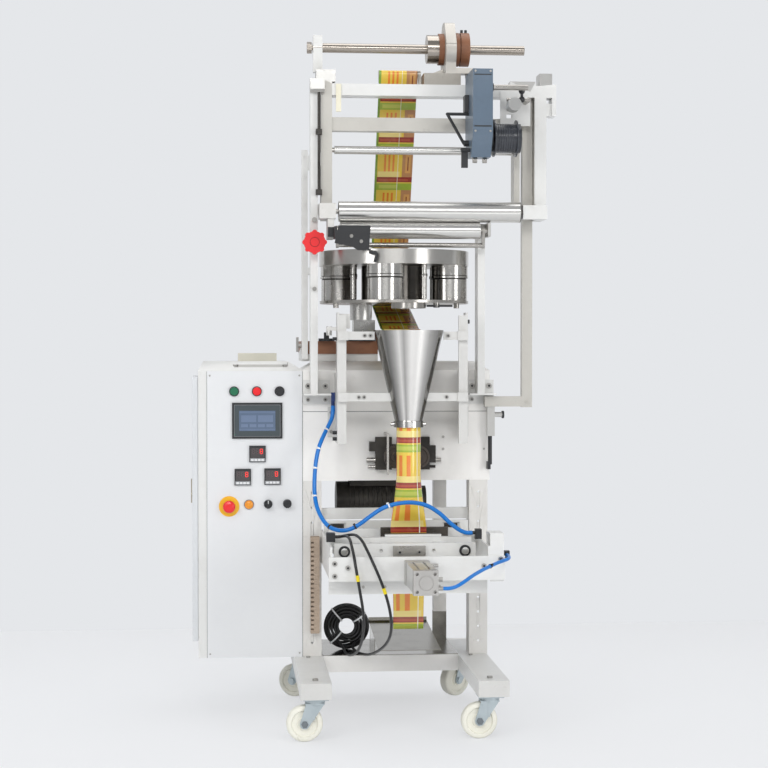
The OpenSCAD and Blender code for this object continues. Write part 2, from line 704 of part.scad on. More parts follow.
fr_y0 = -65;
module beams() {
    color(white) {
        // Left channel of the upper frame.
        bb([-248, fr_y0, frame_z0], [-216, -5, beam1_z + 5]);
        bb([-258, fr_y0 + 6, 1600], [-248, -12, 1640]);
        bb([-258, fr_y0 + 6, 1460], [-248, -12, 1490]);
        // First beam and its end frame.
        bb([-216, fr_y0, beam1_z - beam1_h], [frame_x1 - 12, -5, beam1_z]);
        bb([frame_x1 - 12, fr_y0, 1753], [frame_x1, -5, beam1_z + 4]);
        bb([frame_x1 - 60, fr_y0 + 10, 1753], [frame_x1 - 12, -15, 1790]);
        // Second beam.
        bb([-216, -60, beam2_z - beam2_h], [317, -20, beam2_z]);
        // Right channel of the upper frame.
        bb([377, fr_y0, 1494], [412, -5, beam1_z - beam1_h]);
        bb([317, -60, frame_z0 + 40], [334, -5, beam1_z - beam1_h]);
        bb([334, -34, beam2_z - beam2_h], [tall_x, -8, beam2_z]);
        // Cream plate in front of the channel.
        bb([-205, fr_y0 - 5, 1758], [-190, fr_y0, 1838]);
        // Tall post and the arm that carries it.
        difference() {
            bb([tall_x, -6 - tall_w, 899], [tall_x + tall_w, -6, beam1_z - beam1_h]);
            bb([tall_x + 2.5, -3.5 - tall_w, 898], [tall_x + tall_w - 2.5, -8.5, 1700]);
        }
        bb([236, -6 - tall_w, 901], [tall_x, -6, 931]);
        bb([tall_x + tall_w, -34, 1500], [377, -8, 1530]);
        screw_y(tall_x + 15, -6 - tall_w, 914, 6, 3);
        // Slotted plate behind the printer's knob.
        difference() {
            bb([275, fr_y0 - 4, 1722], [364, fr_y0, 1822]);
            bb([293, fr_y0 - 5, 1744], [311, fr_y0 + 1, 1755]);
        }
    }
    color(alu) {
        // Corner and wedge blocks.
        bb([-262, fr_y0, beam1_z + 5], [-206, -5, beam1_z + 40]);
        translate([-281, fr_y0 - 26, 1812]) rotate([90, 0, 90]) linear_extrude(42)
            polygon([[0, 8], [8, 0], [26, 0], [26, 38], [0, 38]]);
        bb([392, fr_y0, beam1_z], [frame_x1 - 12, -5, beam1_z + 36]);
        bb([305, fr_y0, beam1_z], [380, -25, beam1_z + 12]);
        // Left carrier of the two rollers.
        bb([-256, -roller_y - 24, 1445], [-209, fr_y0, 1489]);
        bb([-232, -roller_y - 20, 1388], [-214, fr_y0 + 20, 1445]);
        // Right carrier of the two rollers.
        bb([334, -roller_y - 20, 1447], [404, -roller_y + 20, 1487]);
        bb([377, -roller_y + 20, 1447], [404, -5, 1494]);
        bb([232, -roller_y - 16, 1396], [240, -45, 1436]);
        bb([231, -45, 1400], [240, -5, 1436]);
    }
    // Fixed spindles of the three rollers.
    color(steel) {
        cx(-214, 338, -roller_y, roller_a_z, spindle_d / 2);
        cx(-220, 236, -roller_y, roller_b_z, spindle_d / 2);
        cx(-217, 318, -40, idler_z, idler_pin_r);
    }
    // Proximity sensor hanging under the arm, its knob and its sleeve into the body.
    color(alu) {
        bb([244, -30, 814], [266, -14, 901]);
        cx(266, 288, -22, 877, 7.5);
    }
    color(dark) {
        cx(288, 294, -22, 877, 11);
        cz(253, -22, 730, 820, 6);
        bb([245, -30, 716], [254, 0, 738]);
    }
}

module spindle_roller(x0, x1, z, d, t) {
    difference() {
        union() {
            cx(x0, x1, -roller_y, z, d / 2);
        }
        cx(x0 - 1, x0 + 3, -roller_y, z, d / 2 - 4);
        cx(x1 - 3, x1 + 1, -roller_y, z, d / 2 - 4);
        cx(x0 - 2, x1 + 2, -roller_y, z, spindle_d / 2 + run_gap);
    }
}

module big_roller() {
    color(alu) spindle_roller(-200, 326, roller_a_z, roller_a_d, 4);
}
module second_roller() {
    color(alu) spindle_roller(-196, 210, roller_b_z, roller_b_d, 4);
}

module idler_rod() {
    color(steel) difference() {
        cx(-208, 312, -40, idler_z, idler_d / 2);
        cx(-209, 313, -40, idler_z, idler_pin_r + run_gap);
    }
}

// The dancer swings about the second roller's spindle.
module dancer() {
    color(steel) {
        cx(-204, 222, -roller_y, roller_b_z - dancer_arm, dancer_d / 2);
        for (x = [-208, 216]) difference() {
            hull() {
                cx(x, x + 8, -roller_y, roller_b_z, 13);
                cx(x, x + 8, -roller_y, roller_b_z - dancer_arm, 9);
            }
            cx(x - 1, x + 9, -roller_y, roller_b_z, spindle_d / 2 + run_gap);
        }
    }
}

/* Reel */

foot_h = 34;

module reel_supports() {
    color(white) {
        difference() {
            bb([-268, -14, beam1_z + 40], [-241, 14, reel_z + 35]);
            cx(-270, -239, 0, reel_z, reel_d / 2 + run_gap);
        }
    }
    color(alu) {
        difference() {
            union() {
                cx(reel_plate_x, reel_plate_x + reel_plate_t, 0, reel_z, reel_plate_r);
                bb([reel_plate_x, -62, beam1_z + foot_h], [reel_plate_x + reel_plate_t, 62, reel_z - 40]);
            }
            cx(reel_plate_x - 1, reel_plate_x + reel_plate_t + 1, 0, reel_z, reel_d / 2 + run_gap);
            bb([reel_plate_x - 1, -1.5, reel_z + 12], [reel_plate_x + reel_plate_t + 1, 1.5, 2100]);
            for (s = [-1, 1]) translate([reel_plate_x - 1, s * 78, reel_z + 45]) rotate([s * 35, 0, 0])
                translate([0, s > 0 ? -22 : -40, -60]) cube([reel_plate_t + 2, 62, 120]);
        }
        // Foot of the plate on the first beam and its gusset.
        bb([52, -62, beam1_z], [reel_plate_x + reel_plate_t + 14, 40, beam1_z + foot_h]);
        translate([0, 20, 0]) rotate([90, 0, 0]) linear_extrude(12)
            polygon([[60, beam1_z + foot_h], [reel_plate_x, beam1_z + foot_h], [reel_plate_x, beam1_z + foot_h + 22]]);
        bb([146, -60, beam1_z + foot_h], [200, -20, beam1_z + foot_h + 16]);
        bb([178, -50, beam1_z + foot_h - 8], [198, -20, beam1_z + foot_h]);
    }
    // Short guide roller under the film's top fold.
    color(steel) {
        cx(web_x - web_w / 2 - 1, 52, 30, fold_z, 10);
        bb([44, 22, beam1_z + 10], [52, 38, fold_z + 10]);
    }
}

module reel_shaft() {
    color(steel) {
        cx(reel_x0 + 17, reel_x1, 0, reel_z, reel_d / 2);
        cx(reel_x0 + 13, reel_x0 + 17, 0, reel_z, 7);
        translate([reel_x0, 0, reel_z]) rotate([0, 90, 0]) cylinder(h = 14, r = 17, $fn = 6);
        difference() {
            cx(66, 100, 0, reel_z, 42);
            translate([84, -50, reel_z - 2]) rotate([-90, 0, 0]) cylinder(h = 12, r = 3);
        }
    }
    color(brown) {
        cx(100, reel_plate_x - 0.4, 0, reel_z, chuck_r);
        difference() {
            cx(reel_plate_x + reel_plate_t + 0.4, reel_plate_x + reel_plate_t + 44, 0, reel_z, chuck_r + 3);
            difference() {
                cx(reel_plate_x + reel_plate_t + 14, reel_plate_x + reel_plate_t + 18, 0, reel_z, chuck_r + 5);
                cx(reel_plate_x + reel_plate_t + 13, reel_plate_x + reel_plate_t + 19, 0, reel_z, chuck_r - 2);
            }
        }
        for (x = [reel_plate_x + reel_plate_t + 24, reel_plate_x + reel_plate_t + 36])
            cz(x, 0, reel_z + chuck_r, reel_z + chuck_r + 12, 4);
    }
}

fold_z = beam1_z + 43;
star_y = -112;
module star_knob() {
    color([0.88, 0.08, 0.10]) {
        difference() {
            union() {
                cy(-269, star_y, star_y + 20, 1378, 31);
                for (a = [0:45:315]) translate([-269 + 28.5 * cos(a), star_y, 1378 + 28.5 * sin(a)])
                    rotate([-90, 0, 0]) cylinder(h = 20, r = 7, $fn = 24);
            }
            difference() {
                cy(-269, star_y - 1, star_y + 1.5, 1378, 14);
                cy(-269, star_y - 2, star_y + 2, 1378, 12.5);
            }
        }
        cy(-269, star_y + 20, up_y0 - 0.4, 1378, 10);
    }
}

module sensor_bracket() {
    color(dark) {
        translate([0, -172, 0]) rotate([90, 0, 0]) linear_extrude(4)
            polygon([[-216, 1372], [-205, 1422], [-113, 1422], [-118, 1352], [-150, 1352], [-165, 1362]]);
        bb([-216, -176, 1385], [-209, -roller_y - 20, 1420]);
        translate([0, -177.5, 0]) rotate([90, 0, 0]) linear_extrude(12)
            polygon([[-116, 1352], [-98, 1350], [-92, 1340], [-99, 1318], [-106, 1318], [-101, 1338], [-118, 1342]]);
        bb([-118, -178, 1342], [-112, -172, 1353]);
        bb([-232, -roller_y - 30, 1392], [-209, -roller_y - 20, 1420]);
    }
    color(steel) {
        screw_y(-168, -176, 1392, 5, 3);
        screw_y(-140, -176, 1377, 5, 3);
    }
}

/* Printer */

prn_y1 = fr_y0;
prn_y0 = fr_y0 - printer_d;
spool_x0 = printer_x + printer_w + 12;
module printer_box() {
    color([0.35, 0.42, 0.50]) {
        bb([printer_x, prn_y0, printer_z0], [printer_x + printer_w, prn_y1, printer_z1]);
        translate([printer_x, 0, 0]) rotate([90, 0, 90]) linear_extrude(printer_w)
            polygon([[prn_y0, printer_z0], [prn_y1 - 8, printer_z0], [prn_y1 - 8, 1640],
                [prn_y1 - 60, 1618], [prn_y0 + 40, 1618]]);
    }
    color(dark) {
        // Ribbon guides, bent guard bar and small knobs.
        cx(printer_x - 26, printer_x, prn_y0 + 60, 1640, 6);
        cx(printer_x - 14, printer_x, prn_y0 + 90, 1662, 9);
        bb([printer_x - 24, prn_y0 + 60, 1590], [printer_x - 6, prn_y0 + 74, 1644]);
        bb([printer_x - 12, prn_y0 + 80, 1752], [printer_x, prn_y0 + 120, 1800]);
        cx(printer_x - 62, printer_x, prn_y0 + 90, 1746, 4.5);
        translate([printer_x - 62, prn_y0 + 90, 1746]) sphere(r = 4.5, $fn = 20);
        hull() {
            translate([printer_x - 62, prn_y0 + 90, 1746]) sphere(r = 4.4, $fn = 16);
            translate([printer_x - 14, prn_y0 + 90, 1662]) sphere(r = 4.4, $fn = 16);
        }
        cx(printer_x + printer_w, spool_x0 - 2, prn_y0 + 80, 1676, 34);
        cx(printer_x + printer_w, spool_x0 + 84, prn_y0 + 80, 1676, 8);
        cx(printer_x + printer_w, printer_x + printer_w + 10, prn_y0 + 60, 1820, 12);
        for (z = [1812, 1788]) translate([325, prn_y0 + 75, z]) sphere(r = 9, $fn = 32);
    }
    color(steel) {
        cx(printer_x + printer_w + 10, 340, prn_y0 + 60, 1820, 8);
        cx(284, 352, prn_y0 + 95, 1790, 5);
        cy(348, prn_y0 + 92, fr_y0 - 4, 1790, 7);
        cz(325, prn_y0 + 75, 1788, 1812, 4);
        for (x = [printer_x + 8, printer_x + 36]) cx(x, x + 12, prn_y0 + 62, 1612, 9);
    }
}

module ribbon_spool() {
    color([0.20, 0.21, 0.24]) difference() {
        union() {
            cx(spool_x0, spool_x0 + 4, prn_y0 + 80, 1676, spool_r);
            cx(spool_x0, spool_x0 + 78, prn_y0 + 80, 1676, 42);
            cx(spool_x0 + 64, spool_x0 + 68, prn_y0 + 80, 1676, spool_r);
        }
        cx(spool_x0 - 1, spool_x0 + 80, prn_y0 + 80, 1676, 8 + run_gap);
        for (i = [0:6]) difference() {
            cx(spool_x0 + 10 + i * 7, spool_x0 + 12 + i * 7, prn_y0 + 80, 1676, 43);
            cx(spool_x0 + 9 + i * 7, spool_x0 + 13 + i * 7, prn_y0 + 80, 1676, 40.5);
        }
    }
}

knob_x = 299;
knob_z = 1770;
module printer_knob() {
    color([0.85, 0.85, 0.86]) {
        cy(knob_x, -190, -140, knob_z, 19);
        cy(knob_x, -140, fr_y0 - 4.4, knob_z, 6);
    }
}

/* Dosing head */

module at_dose() {
    translate([dose_x, dose_y, 0]) children();
}

module dosing_pan() {
    color(steel) at_dose() difference() {
        union() {
            difference() {
                cz(0, 0, pan_z, pan_z + pan_h, pan_r);
                cz(0, 0, pan_z + 4, pan_z + pan_h + 1, pan_r - 3);
            }
            cz(0, 0, plate_z + plate_t + 0.4, pan_z + 12, 26);
            cz(0, 0, pan_z, pan_z + 30, 40);
        }
        for (i = [0:cup_n - 1]) rotate(cup_a + i * 360 / cup_n) cz(cup_ring_r, 0, pan_z - 1, pan_z + 5, cup_r - cup_t);
        cz(0, 0, plate_z, pan_z + 20, 12 + run_gap);
    }
}

module dosing_cups() {
    color([0.80, 0.81, 0.82]) at_dose() for (i = [0:cup_n - 1]) rotate(cup_a + i * 360 / cup_n) {
        translate([cup_ring_r, 0, 0]) difference() {
            union() {
                cz(0, 0, plate_z + plate_t + cup_gap, pan_z - 40, cup_r - 2);
                cz(0, 0, pan_z - 46, pan_z - 28, cup_r - 3.5);
                cz(0, 0, pan_z - 36, pan_z - 30, cup_r + 1);
                cz(0, 0, pan_z - 28, pan_z, cup_r);
            }
            cz(0, 0, plate_z, pan_z + 1, cup_r - 2 - cup_t - 3);
        }
        // Spacer column between two cups.
        rotate(180 / cup_n) {
            cz(cup_ring_r - 20, 0, plate_z + plate_t + 4, pan_z, 9);
            cz(cup_ring_r - 20, 0, pan_z - 34, pan_z - 26, 11);
        }
    }
}

module dosing_plate() {
    color(steel) {
        difference() {
            at_dose() cz(0, 0, plate_z, plate_z + plate_t, pan_r - cup_margin);
            cz(0, tube_y, plate_z - 1, plate_z + plate_t + 1, 46);
        }
        at_dose() cz(0, 0, plate_z, pan_z + 19.6, 12);
        for (p = [[150, -40], [-205, -60]]) cz(p[0], p[1], plate_z - 14, plate_z, 8);
        // Discharge sleeve under the hole.
        difference() {
            cz(0, tube_y, 1188, plate_z, 50);
            cz(0, tube_y, 1187, plate_z + 1, 46);
        }
    }
    color(dark) {
        bb([52, tube_y - 11, plate_z - 12], [126, tube_y + 1, plate_z - 6]);
        cz(80, tube_y - 5, plate_z - 14, plate_z, 9);
    }
}

drv_x = -119;
drv_y = 112;
module dosing_drive() {
    color(steel) {
        cz(drv_x, drv_y, 1157, plate_z, 33);
        bb([drv_x - 24, drv_y - 30, 1116], [drv_x + 40, drv_y + 40, 1157]);
        // Carrier of the two film guide rollers.
        bb([-104, body_d - 28, 1094], [-92, body_d - 6, 1392]);
        bb([-112, body_d - 30, 1094], [-84, body_d - 12, 1102]);
        cx(-92, web_x + web_w / 2 + 4, body_d - 15, 1375, 10);
        cx(-92, web_x + web_w / 2 + 4, body_d - 21, 1216, 10);
    }
    color(dark) {
        cz(drv_x, drv_y, 1094, 1116, 46);
        cz(-225, 70, 1094, 1102, 24);
        cz(-225, 70, 1102, 1120, 8);
    }
}

module brown_base() {
    color(white) bb([-299, 90, body_z1 + cover_rise], [-70, 280, 1056]);
    color(brown) bb([-299, 84, 1056], [-70, 290, 1094]);
    color(steel) {
        bb([-314, 90, 1062], [-307, 116, 1106]);
        cx(-307, -299, 103, 1080, 6);
    }
}

/* Funnel and film */

cone_z0 = funnel_z0 + neck_h;
spider_z = 901;
module funnel_skin(dr) {
    rotate_extrude($fn = 96) polygon([[funnel_r0 + dr, funnel_z0], [funnel_r0 + dr, cone_z0],
        [funnel_r1 + dr, funnel_z1], [funnel_r1 + dr - 1.6, funnel_z1], [funnel_r0 + dr - 1.6, cone_z0],
        [funnel_r0 + dr - 1.6, funnel_z0]]);
}

module funnel() {
    color([0.80, 0.80, 0.81]) translate([0, tube_y, 0]) {
        funnel_skin(0);
        // Neck collar with its screw, and the side clips.
        difference() {
            cz(0, 0, funnel_z0, cone_z0, funnel_r0 + 3);
            cz(0, 0, funnel_z0 - 1, cone_z0 + 1, funnel_r0 - 1);
        }
    }
    color(steel) {
        cx(-funnel_r0 - 12, -funnel_r0 - 2.6, tube_y, cone_z0 - 9, 5);
        cx(funnel_r0 + 2.6, funnel_r0 + 10, tube_y, cone_z0 - 9, 5);
    }
    // Forming tube hanging from the neck on a spider.
    color(steel) translate([0, tube_y, 0]) {
        difference() {
            cz(0, 0, 700, spider_z + 12, form_r);
            cz(0, 0, 699, spider_z + 13, form_r - 2);
        }
        for (a = [45:90:315]) rotate(a)
            bb([form_r - 1, -1, spider_z], [funnel_r0 + (spider_z - cone_z0) * 0.234 - 1, 1, spider_z + 12]);
    }
}

bp_l_x = -200;
bp_r_x = 145;
module bracket_side(x, s) {
    // Upright flat bar, its web back to the body and two clamps.
    bb([x, tube_y - 6, 798], [x + 20, tube_y + 6, 1168]);
    xw = s < 0 ? x - 6 : x + 20;
    bb([xw, tube_y - 6, 800], [xw + 6, 0, 1000]);
    bb([xw, tube_y - 6, 1000], [xw + 6, tube_y + 44, 1176]);
    bb([s < 0 ? xw - 20 : xw, -4, 812], [s < 0 ? xw + 6 : xw + 26, 0, 900]);
    for (z = [828, 884]) screw_y(s < 0 ? xw - 10 : xw + 16, -4, z, 5, 4);
    for (z = [1096, 920]) {
        bb([x - 5, tube_y - 22, z], [x + 25, tube_y - 6, z + 26]);
    }
}

module funnel_brackets() {
    color(white) {
        bracket_side(bp_l_x, -1);
        bracket_side(bp_r_x, 1);
        difference() {
            for (z = [1097, 921]) {
                bb([bp_l_x + 25, tube_y - 18, z], [0, tube_y - 12, z + 24]);
                bb([0, tube_y - 18, z], [bp_r_x - 5, tube_y - 12, z + 24]);
            }
            translate([0, tube_y, 0]) cylinder(h = cone_z0, r = funnel_r0 + 4);
            translate([0, tube_y, cone_z0 - 0.01]) cylinder(h = funnel_z1 - cone_z0 + 0.01,
                r1 = funnel_r0 + 0.15, r2 = funnel_r1 + 0.15, $fn = 96);
            bb([-110, tube_y - 60, funnel_z1 - 40], [110, tube_y + 60, funnel_z1 + 20]);
        }
        for (s = [-1, 1]) bb([s < 0 ? bp_l_x + 25 : funnel_r1 - 1.3, tube_y - 18, 1097],
            [s < 0 ? -funnel_r1 + 1.3 : bp_r_x - 5, tube_y - 12, 1121]);
        for (x = [-128, -112, 112]) screw_y(x, tube_y - 18, 1109, 5.5, 3);
        for (x = [-145, -130, 108]) screw_y(x, tube_y - 18, 933, 5.5, 3);
    }
    color(dark) {
        for (z = [812, 830, 1100]) cx(bp_l_x - 18, bp_l_x - 6, tube_y + 18, z, 5);
        cx(bp_r_x + 26, bp_r_x + 34, tube_y + 18, 1150, 6);
    }
    // Air fittings on the left bracket.
    color(alu) {
        bb([-204, tube_y + 6, 1130], [-168, tube_y + 38, 1172]);
        cz(-228, tube_y + 22, 1110, 1136, 8);
        bb([-236, tube_y + 14, 1124], [-204, tube_y + 30, 1134]);
    }
}

// Side view of the film web: over the short roller, down behind the head, forward to the funnel.
web_path = concat([[41, fold_z - 25]],
    [for (a = [0:30:210]) [30 + 11 * cos(a), fold_z + 11 * sin(a)]],
    [[295.3, 1379], [295.6, 1375]],
    [for (a = [0:30:90]) [279 + 10.6 * cos(a), 1216 - 10.6 * sin(a)]],
    [[-24, 1130], [-62, 1128], [-84, 1100], [-96, 1064]]);

module web_strip() {
    n = len(web_path);
    pts2 = [for (i = [n - 1:-1:0]) let (a = web_path[max(0, i - 1)], b = web_path[min(n - 1, i + 1)],
        d = b - a, l = norm(d)) web_path[i] + [-d[1], d[0]] / l * film_t];
    translate([web_x - web_w / 2, 0, 0]) rotate([90, 0, 90]) linear_extrude(web_w)
        polygon(concat(web_path, pts2));
}

// Rings of the film tube: height, half width, half depth and centre in Y.
tube_rings = [[898, film_r, film_r, 0], [700, film_r, film_r, 0], [660, 39, 31, 0], [620, 44, 22, 0],
    [585, 49, 10, 0], [560, flat_w / 2, 1.0, 0], [480, flat_w / 2, 1.0, 0], [440, flat_w / 2 - 2, 5, 0],
    [360, 45, 9, 0], [300, 44, 6, 2], [262, 44, 1.2, 6]];
tube_n = 48;
function ring_pt(r, k, t) = let (a = 360 * k / tube_n)
    [(r[1] - t) * cos(a), tube_y + r[3] + (r[2] - t) * sin(a), r[0]];

module film_tube_solid(t, e) {
    m = len(tube_rings);
    pts = [for (i = [0:m - 1]) for (k = [0:tube_n - 1]) let (p = ring_pt(tube_rings[i], k, t))
        [p[0], p[1], p[2] + (i == 0 ? e : (i == m - 1 ? -e : 0))]];
    side = [for (i = [0:m - 2]) for (k = [0:tube_n - 1]) [i * tube_n + k, i * tube_n + (k + 1) % tube_n,
        (i + 1) * tube_n + (k + 1) % tube_n, (i + 1) * tube_n + k]];
    top = [[for (k = [tube_n - 1:-1:0]) k]];
    bot = [[for (k = [0:tube_n - 1]) (m - 1) * tube_n + k]];
    polyhedron(points = pts, faces = concat(side, top, bot));
}

module film() {
    color([0.93, 0.78, 0.25]) {
        web_strip();
        difference() {
            film_tube_solid(0, 0);
            film_tube_solid(film_t, 1);
        }
        // Back fin gripped by the pulling wheels.
        bb([-0.2, tube_y + film_r - 0.3, 700], [0.2, tube_y + film_r + 26, 843]);
    }
}

/* Pulling unit */

wheel_pull_r = 33;
pull_y0 = tube_y + film_r + 6;
pull_z = 757;
module pull_unit() {
    color(dark) {
        bb([-86, -22, 716], [-38, 0, 812]);
        bb([38, -22, 716], [74, 0, 812]);
        bb([-38, -14, 740], [38, 0, 790]);
        bb([-104, -20, 770], [-86, 0, 798]);
        bb([74, -20, 736], [92, 0, 786]);
        for (s = [-1, 1]) cy(s * 33.5, pull_y0 - 4, -14, pull_z, 6);
    }
    color(steel) {
        cx(-112, -86, -12, 744, 7);
        cx(-108, -86, -10, 724, 4);
        cx(92, 108, -12, 744, 6);
        cx(74, 92, -10, 724, 4);
        bb([-60, pull_y0 - 12, 706], [-54, pull_y0 - 5, 826]);
        bb([-60, pull_y0 - 12, 820], [-54, 0, 826]);
    }
}
module pull_wheel(s) {
    color([0.24, 0.21, 0.19]) difference() {
        cy(s * 33.5, pull_y0, pull_y0 + 20, pull_z, wheel_pull_r);
        cy(s * 33.5, pull_y0 - 1, pull_y0 + 21, pull_z, 6 + run_gap);
        difference() {
            cy(s * 33.5, pull_y0 - 1, pull_y0 + 3, pull_z, 26);
            cy(s * 33.5, pull_y0 - 2, pull_y0 + 4, pull_z, 14);
        }
    }
}
module pull_wheel_left() { pull_wheel(-1); }
module pull_wheel_right() { pull_wheel(1); }

/* Jaws */

arm_l_x = post_l_x + post_w;
arm_r_x = post_r_x - arm_t;
jy = -channel_y;
module jaw_frame() {
    color(white) {
        bb([arm_l_x, jy + arm_t, arm_z0], [arm_l_x + arm_t, post_d - 5, arm_z1]);
        bb([arm_r_x, jy + arm_t, arm_z0], [arm_r_x + arm_t, post_d - 5, arm_z1]);
        // Front channel, open to the back.
        difference() {
            bb([arm_l_x - 4, jy, arm_z0], [234, jy + arm_t, channel_z1]);
            cy(cyl_x, jy - 1, jy + arm_t + 1, cyl_z, piston_d / 2 + 3);
        }
        bb([arm_l_x + arm_t, jy + arm_t, arm_z0], [arm_r_x, jy + 36, arm_z0 + 4]);
        for (p = [[-232, 490], [-196, 478], [-232, 456], [176, 480], [222, 498]]) screw_y(p[0], jy, p[1], 7, 4);
        // Outer block at the right.
        difference() {
            bb([arm_r_x + arm_t, jy + arm_t, 436], [232, jy + 80, 568]);
            bb([arm_r_x + arm_t - 1, jy + arm_t + 5, 430], [227, jy + 75, 562]);
        }
        // Rear cross plate between the posts.
        bb([arm_l_x, 22, 567], [post_r_x, 34, 600]);
        // Rear bearing plate with two windows.
        difference() {
            bb([arm_l_x + arm_t, -22, 480], [arm_r_x, -8, 566]);
            for (x = [rod_l_x, rod_r_x]) bb([x - 26, -23, 528], [x + 26, -16, 560]);
        }
        // Lower bar.
        bb([arm_l_x, jy + 60, 398], [arm_r_x + arm_t, jy + 76, arm_z0]);
        for (x = [-150, -90, -10, 60]) screw_y(x, jy + 60, 418, 4, 2);
        bb([68, jy + 76, 398], [86, jy + 110, 450]);
    }
    color(dark) {
        for (x = [rod_l_x, rod_r_x]) bb([x - 20, -17, 531], [x + 20, -15.8, 557]);
        // Cable clamp on the left arm and hose fittings at the right.
        bb([-246, -292, arm_z1 - 1], [-222, -262, 558]);
        bb([178, -250, arm_z1 - 1], [196, -228, 562]);
        cx(hose_l_end[0], 178, hose_l_end[1], hose_l_end[2], 5);
        bb([232, -360, 492], [258, -340, 512]);
        cy(hose_r_end[0], hose_r_end[1], -360, hose_r_end[2], 5);
    }
    color(steel) for (x = [rod_l_x, rod_r_x]) cy(x, jy + 92, -16, rod_z, rod_d / 2);
}

module jaw_bar(y0, y1, z0, z1) {
    difference() {
        bb([rod_l_x - 28, y0, z0], [rod_r_x + 30, y1, z1]);
        for (x = [rod_l_x, rod_r_x]) cy(x, y0 - 1, y1 + 1, rod_z, rod_d / 2 + bush_gap);
    }
}

fj_y = jy + 100;
module front_jaw() {
    color(white) {
        difference() {
            jaw_bar(fj_y, fj_y + 26, 490, 532);
            for (x = [-97, 50]) cy(x, fj_y - 1, fj_y + 8, 512, 5);
        }
        jaw_bar(-244, -220, 496, 540);
        for (x = [-120, 60]) bb([x, fj_y + 26, 500], [x + 30, -244, 528]);
    }
    color(steel) {
        bb([-64, fj_y - 10, cyl_z - 18], [26, fj_y, 526]);
        cy(cyl_x, jy - jaw_travel - 6, fj_y - 10, cyl_z, piston_d / 2);
        for (x = [-46, 8]) screw_y(x, fj_y - 10, 509, 7, 5);
        for (x = [rod_l_x, rod_r_x]) difference() {
            cy(x, fj_y - 3, fj_y, rod_z, 16);
            cy(x, fj_y - 4, fj_y + 1, rod_z, rod_d / 2 + bush_gap);
        }
    }
    color(dark) {
        bb([-76, -220, 498], [84, -196, 546]);
        for (i = [0:5]) bb([-70, -196, 502 + i * 7], [78, tube_y - 1.4 - jaw_travel, 505 + i * 7]);
        bb([-70, -196, 500], [78, tube_y - 3.4 - jaw_travel, 544]);
    }
}

module rear_jaw() {
    color(white) jaw_bar(tube_y + jaw_travel + 26, tube_y + jaw_travel + 46, 492, 548);
    color(dark) {
        bb([-76, tube_y + jaw_travel + 8, 498], [120, tube_y + jaw_travel + 26, 552]);
        for (i = [0:5]) bb([-70, tube_y + 1.4 + jaw_travel, 502 + i * 7],
            [78, tube_y + jaw_travel + 8, 505 + i * 7]);
        bb([-70, tube_y + 3.4 + jaw_travel, 500], [78, tube_y + jaw_travel + 8, 544]);
    }
}

cyl_z = 466;
module air_cylinder() {
    color(alu) {
        difference() {
            bb([cyl_x - cyl_w / 2, cyl_y0, cyl_z - cyl_w / 2], [cyl_x + cyl_w / 2, cyl_y0 + 28, cyl_z + cyl_w / 2]);
            for (sx = [-1, 1]) for (sz = [-1, 1]) cy(cyl_x + sx * 23.3, cyl_y0 - 1, cyl_y0 + 12, cyl_z + sz * 23.3, 4.2);
            difference() {
                cy(cyl_x, cyl_y0 - 1, cyl_y0 + 2, cyl_z, 20);
                cy(cyl_x, cyl_y0 - 2, cyl_y0 + 3, cyl_z, 17);
            }
        }
        difference() {
            bb([cyl_x - cyl_w / 2 + 1.5, cyl_y0 + 28, cyl_z - cyl_w / 2 + 1.5],
                [cyl_x + cyl_w / 2 - 1.5, jy - jaw_travel - 10, cyl_z + cyl_w / 2 - 1.5]);
            for (x = [-14, 14]) for (z = [cyl_z - cyl_w / 2, cyl_z + cyl_w / 2])
                bb([cyl_x + x - 3, cyl_y0 + 27, z - 6], [cyl_x + x + 3, jy - jaw_travel - 9, z + 6]);
        }
        difference() {
            bb([cyl_x - cyl_w / 2, jy - jaw_travel - 10, cyl_z - cyl_w / 2], [cyl_x + cyl_w / 2, jy, cyl_z + cyl_w / 2]);
            cy(cyl_x, jy - jaw_travel - 8, jy + 1, cyl_z, piston_d / 2 + run_gap);
        }
    }
    color(steel) {
        cx(cyl_x + cyl_w / 2, cyl_x + cyl_w / 2 + 12, cyl_y0 + 14, cyl_z + 8, 6);
        cx(cyl_x + cyl_w / 2, cyl_x + cyl_w / 2 + 26, jy - 14, cyl_z + 18, 5);
        cx(cyl_x + cyl_w / 2, hose_r_pts[0][0], hose_r_pts[0][1], hose_r_pts[0][2], 5.5);
    }
}

module wire_duct() {
    color([0.66, 0.56, 0.48]) difference() {
        bb([-277, -24, 236], [-251, 0, 520]);
        bb([-275, -22, 235], [-253, -2, 521]);
        for (i = [0:19]) bb([-278, -25, 246 + i * 13.4], [-268, -6, 251 + i * 13.4]);
    }
}

/* Cords: one tube per cord, swept along its points. */

function unit(v) = v / norm(v);
function turn_step(p, i) = i == 0 ? unit(p[1] - p[0]) : i == len(p) - 1 ? unit(p[i] - p[i - 1]) : unit(unit(p[i + 1] - p[i]) + unit(p[i] - p[i - 1]));
function side_of(t, u) = unit(u - (u * t) * t);
function frames(p, i, u) = i == len(p) ? [] : let (t = turn_step(p, i), s = side_of(t, u)) concat([[t, s]], frames(p, i + 1, s));

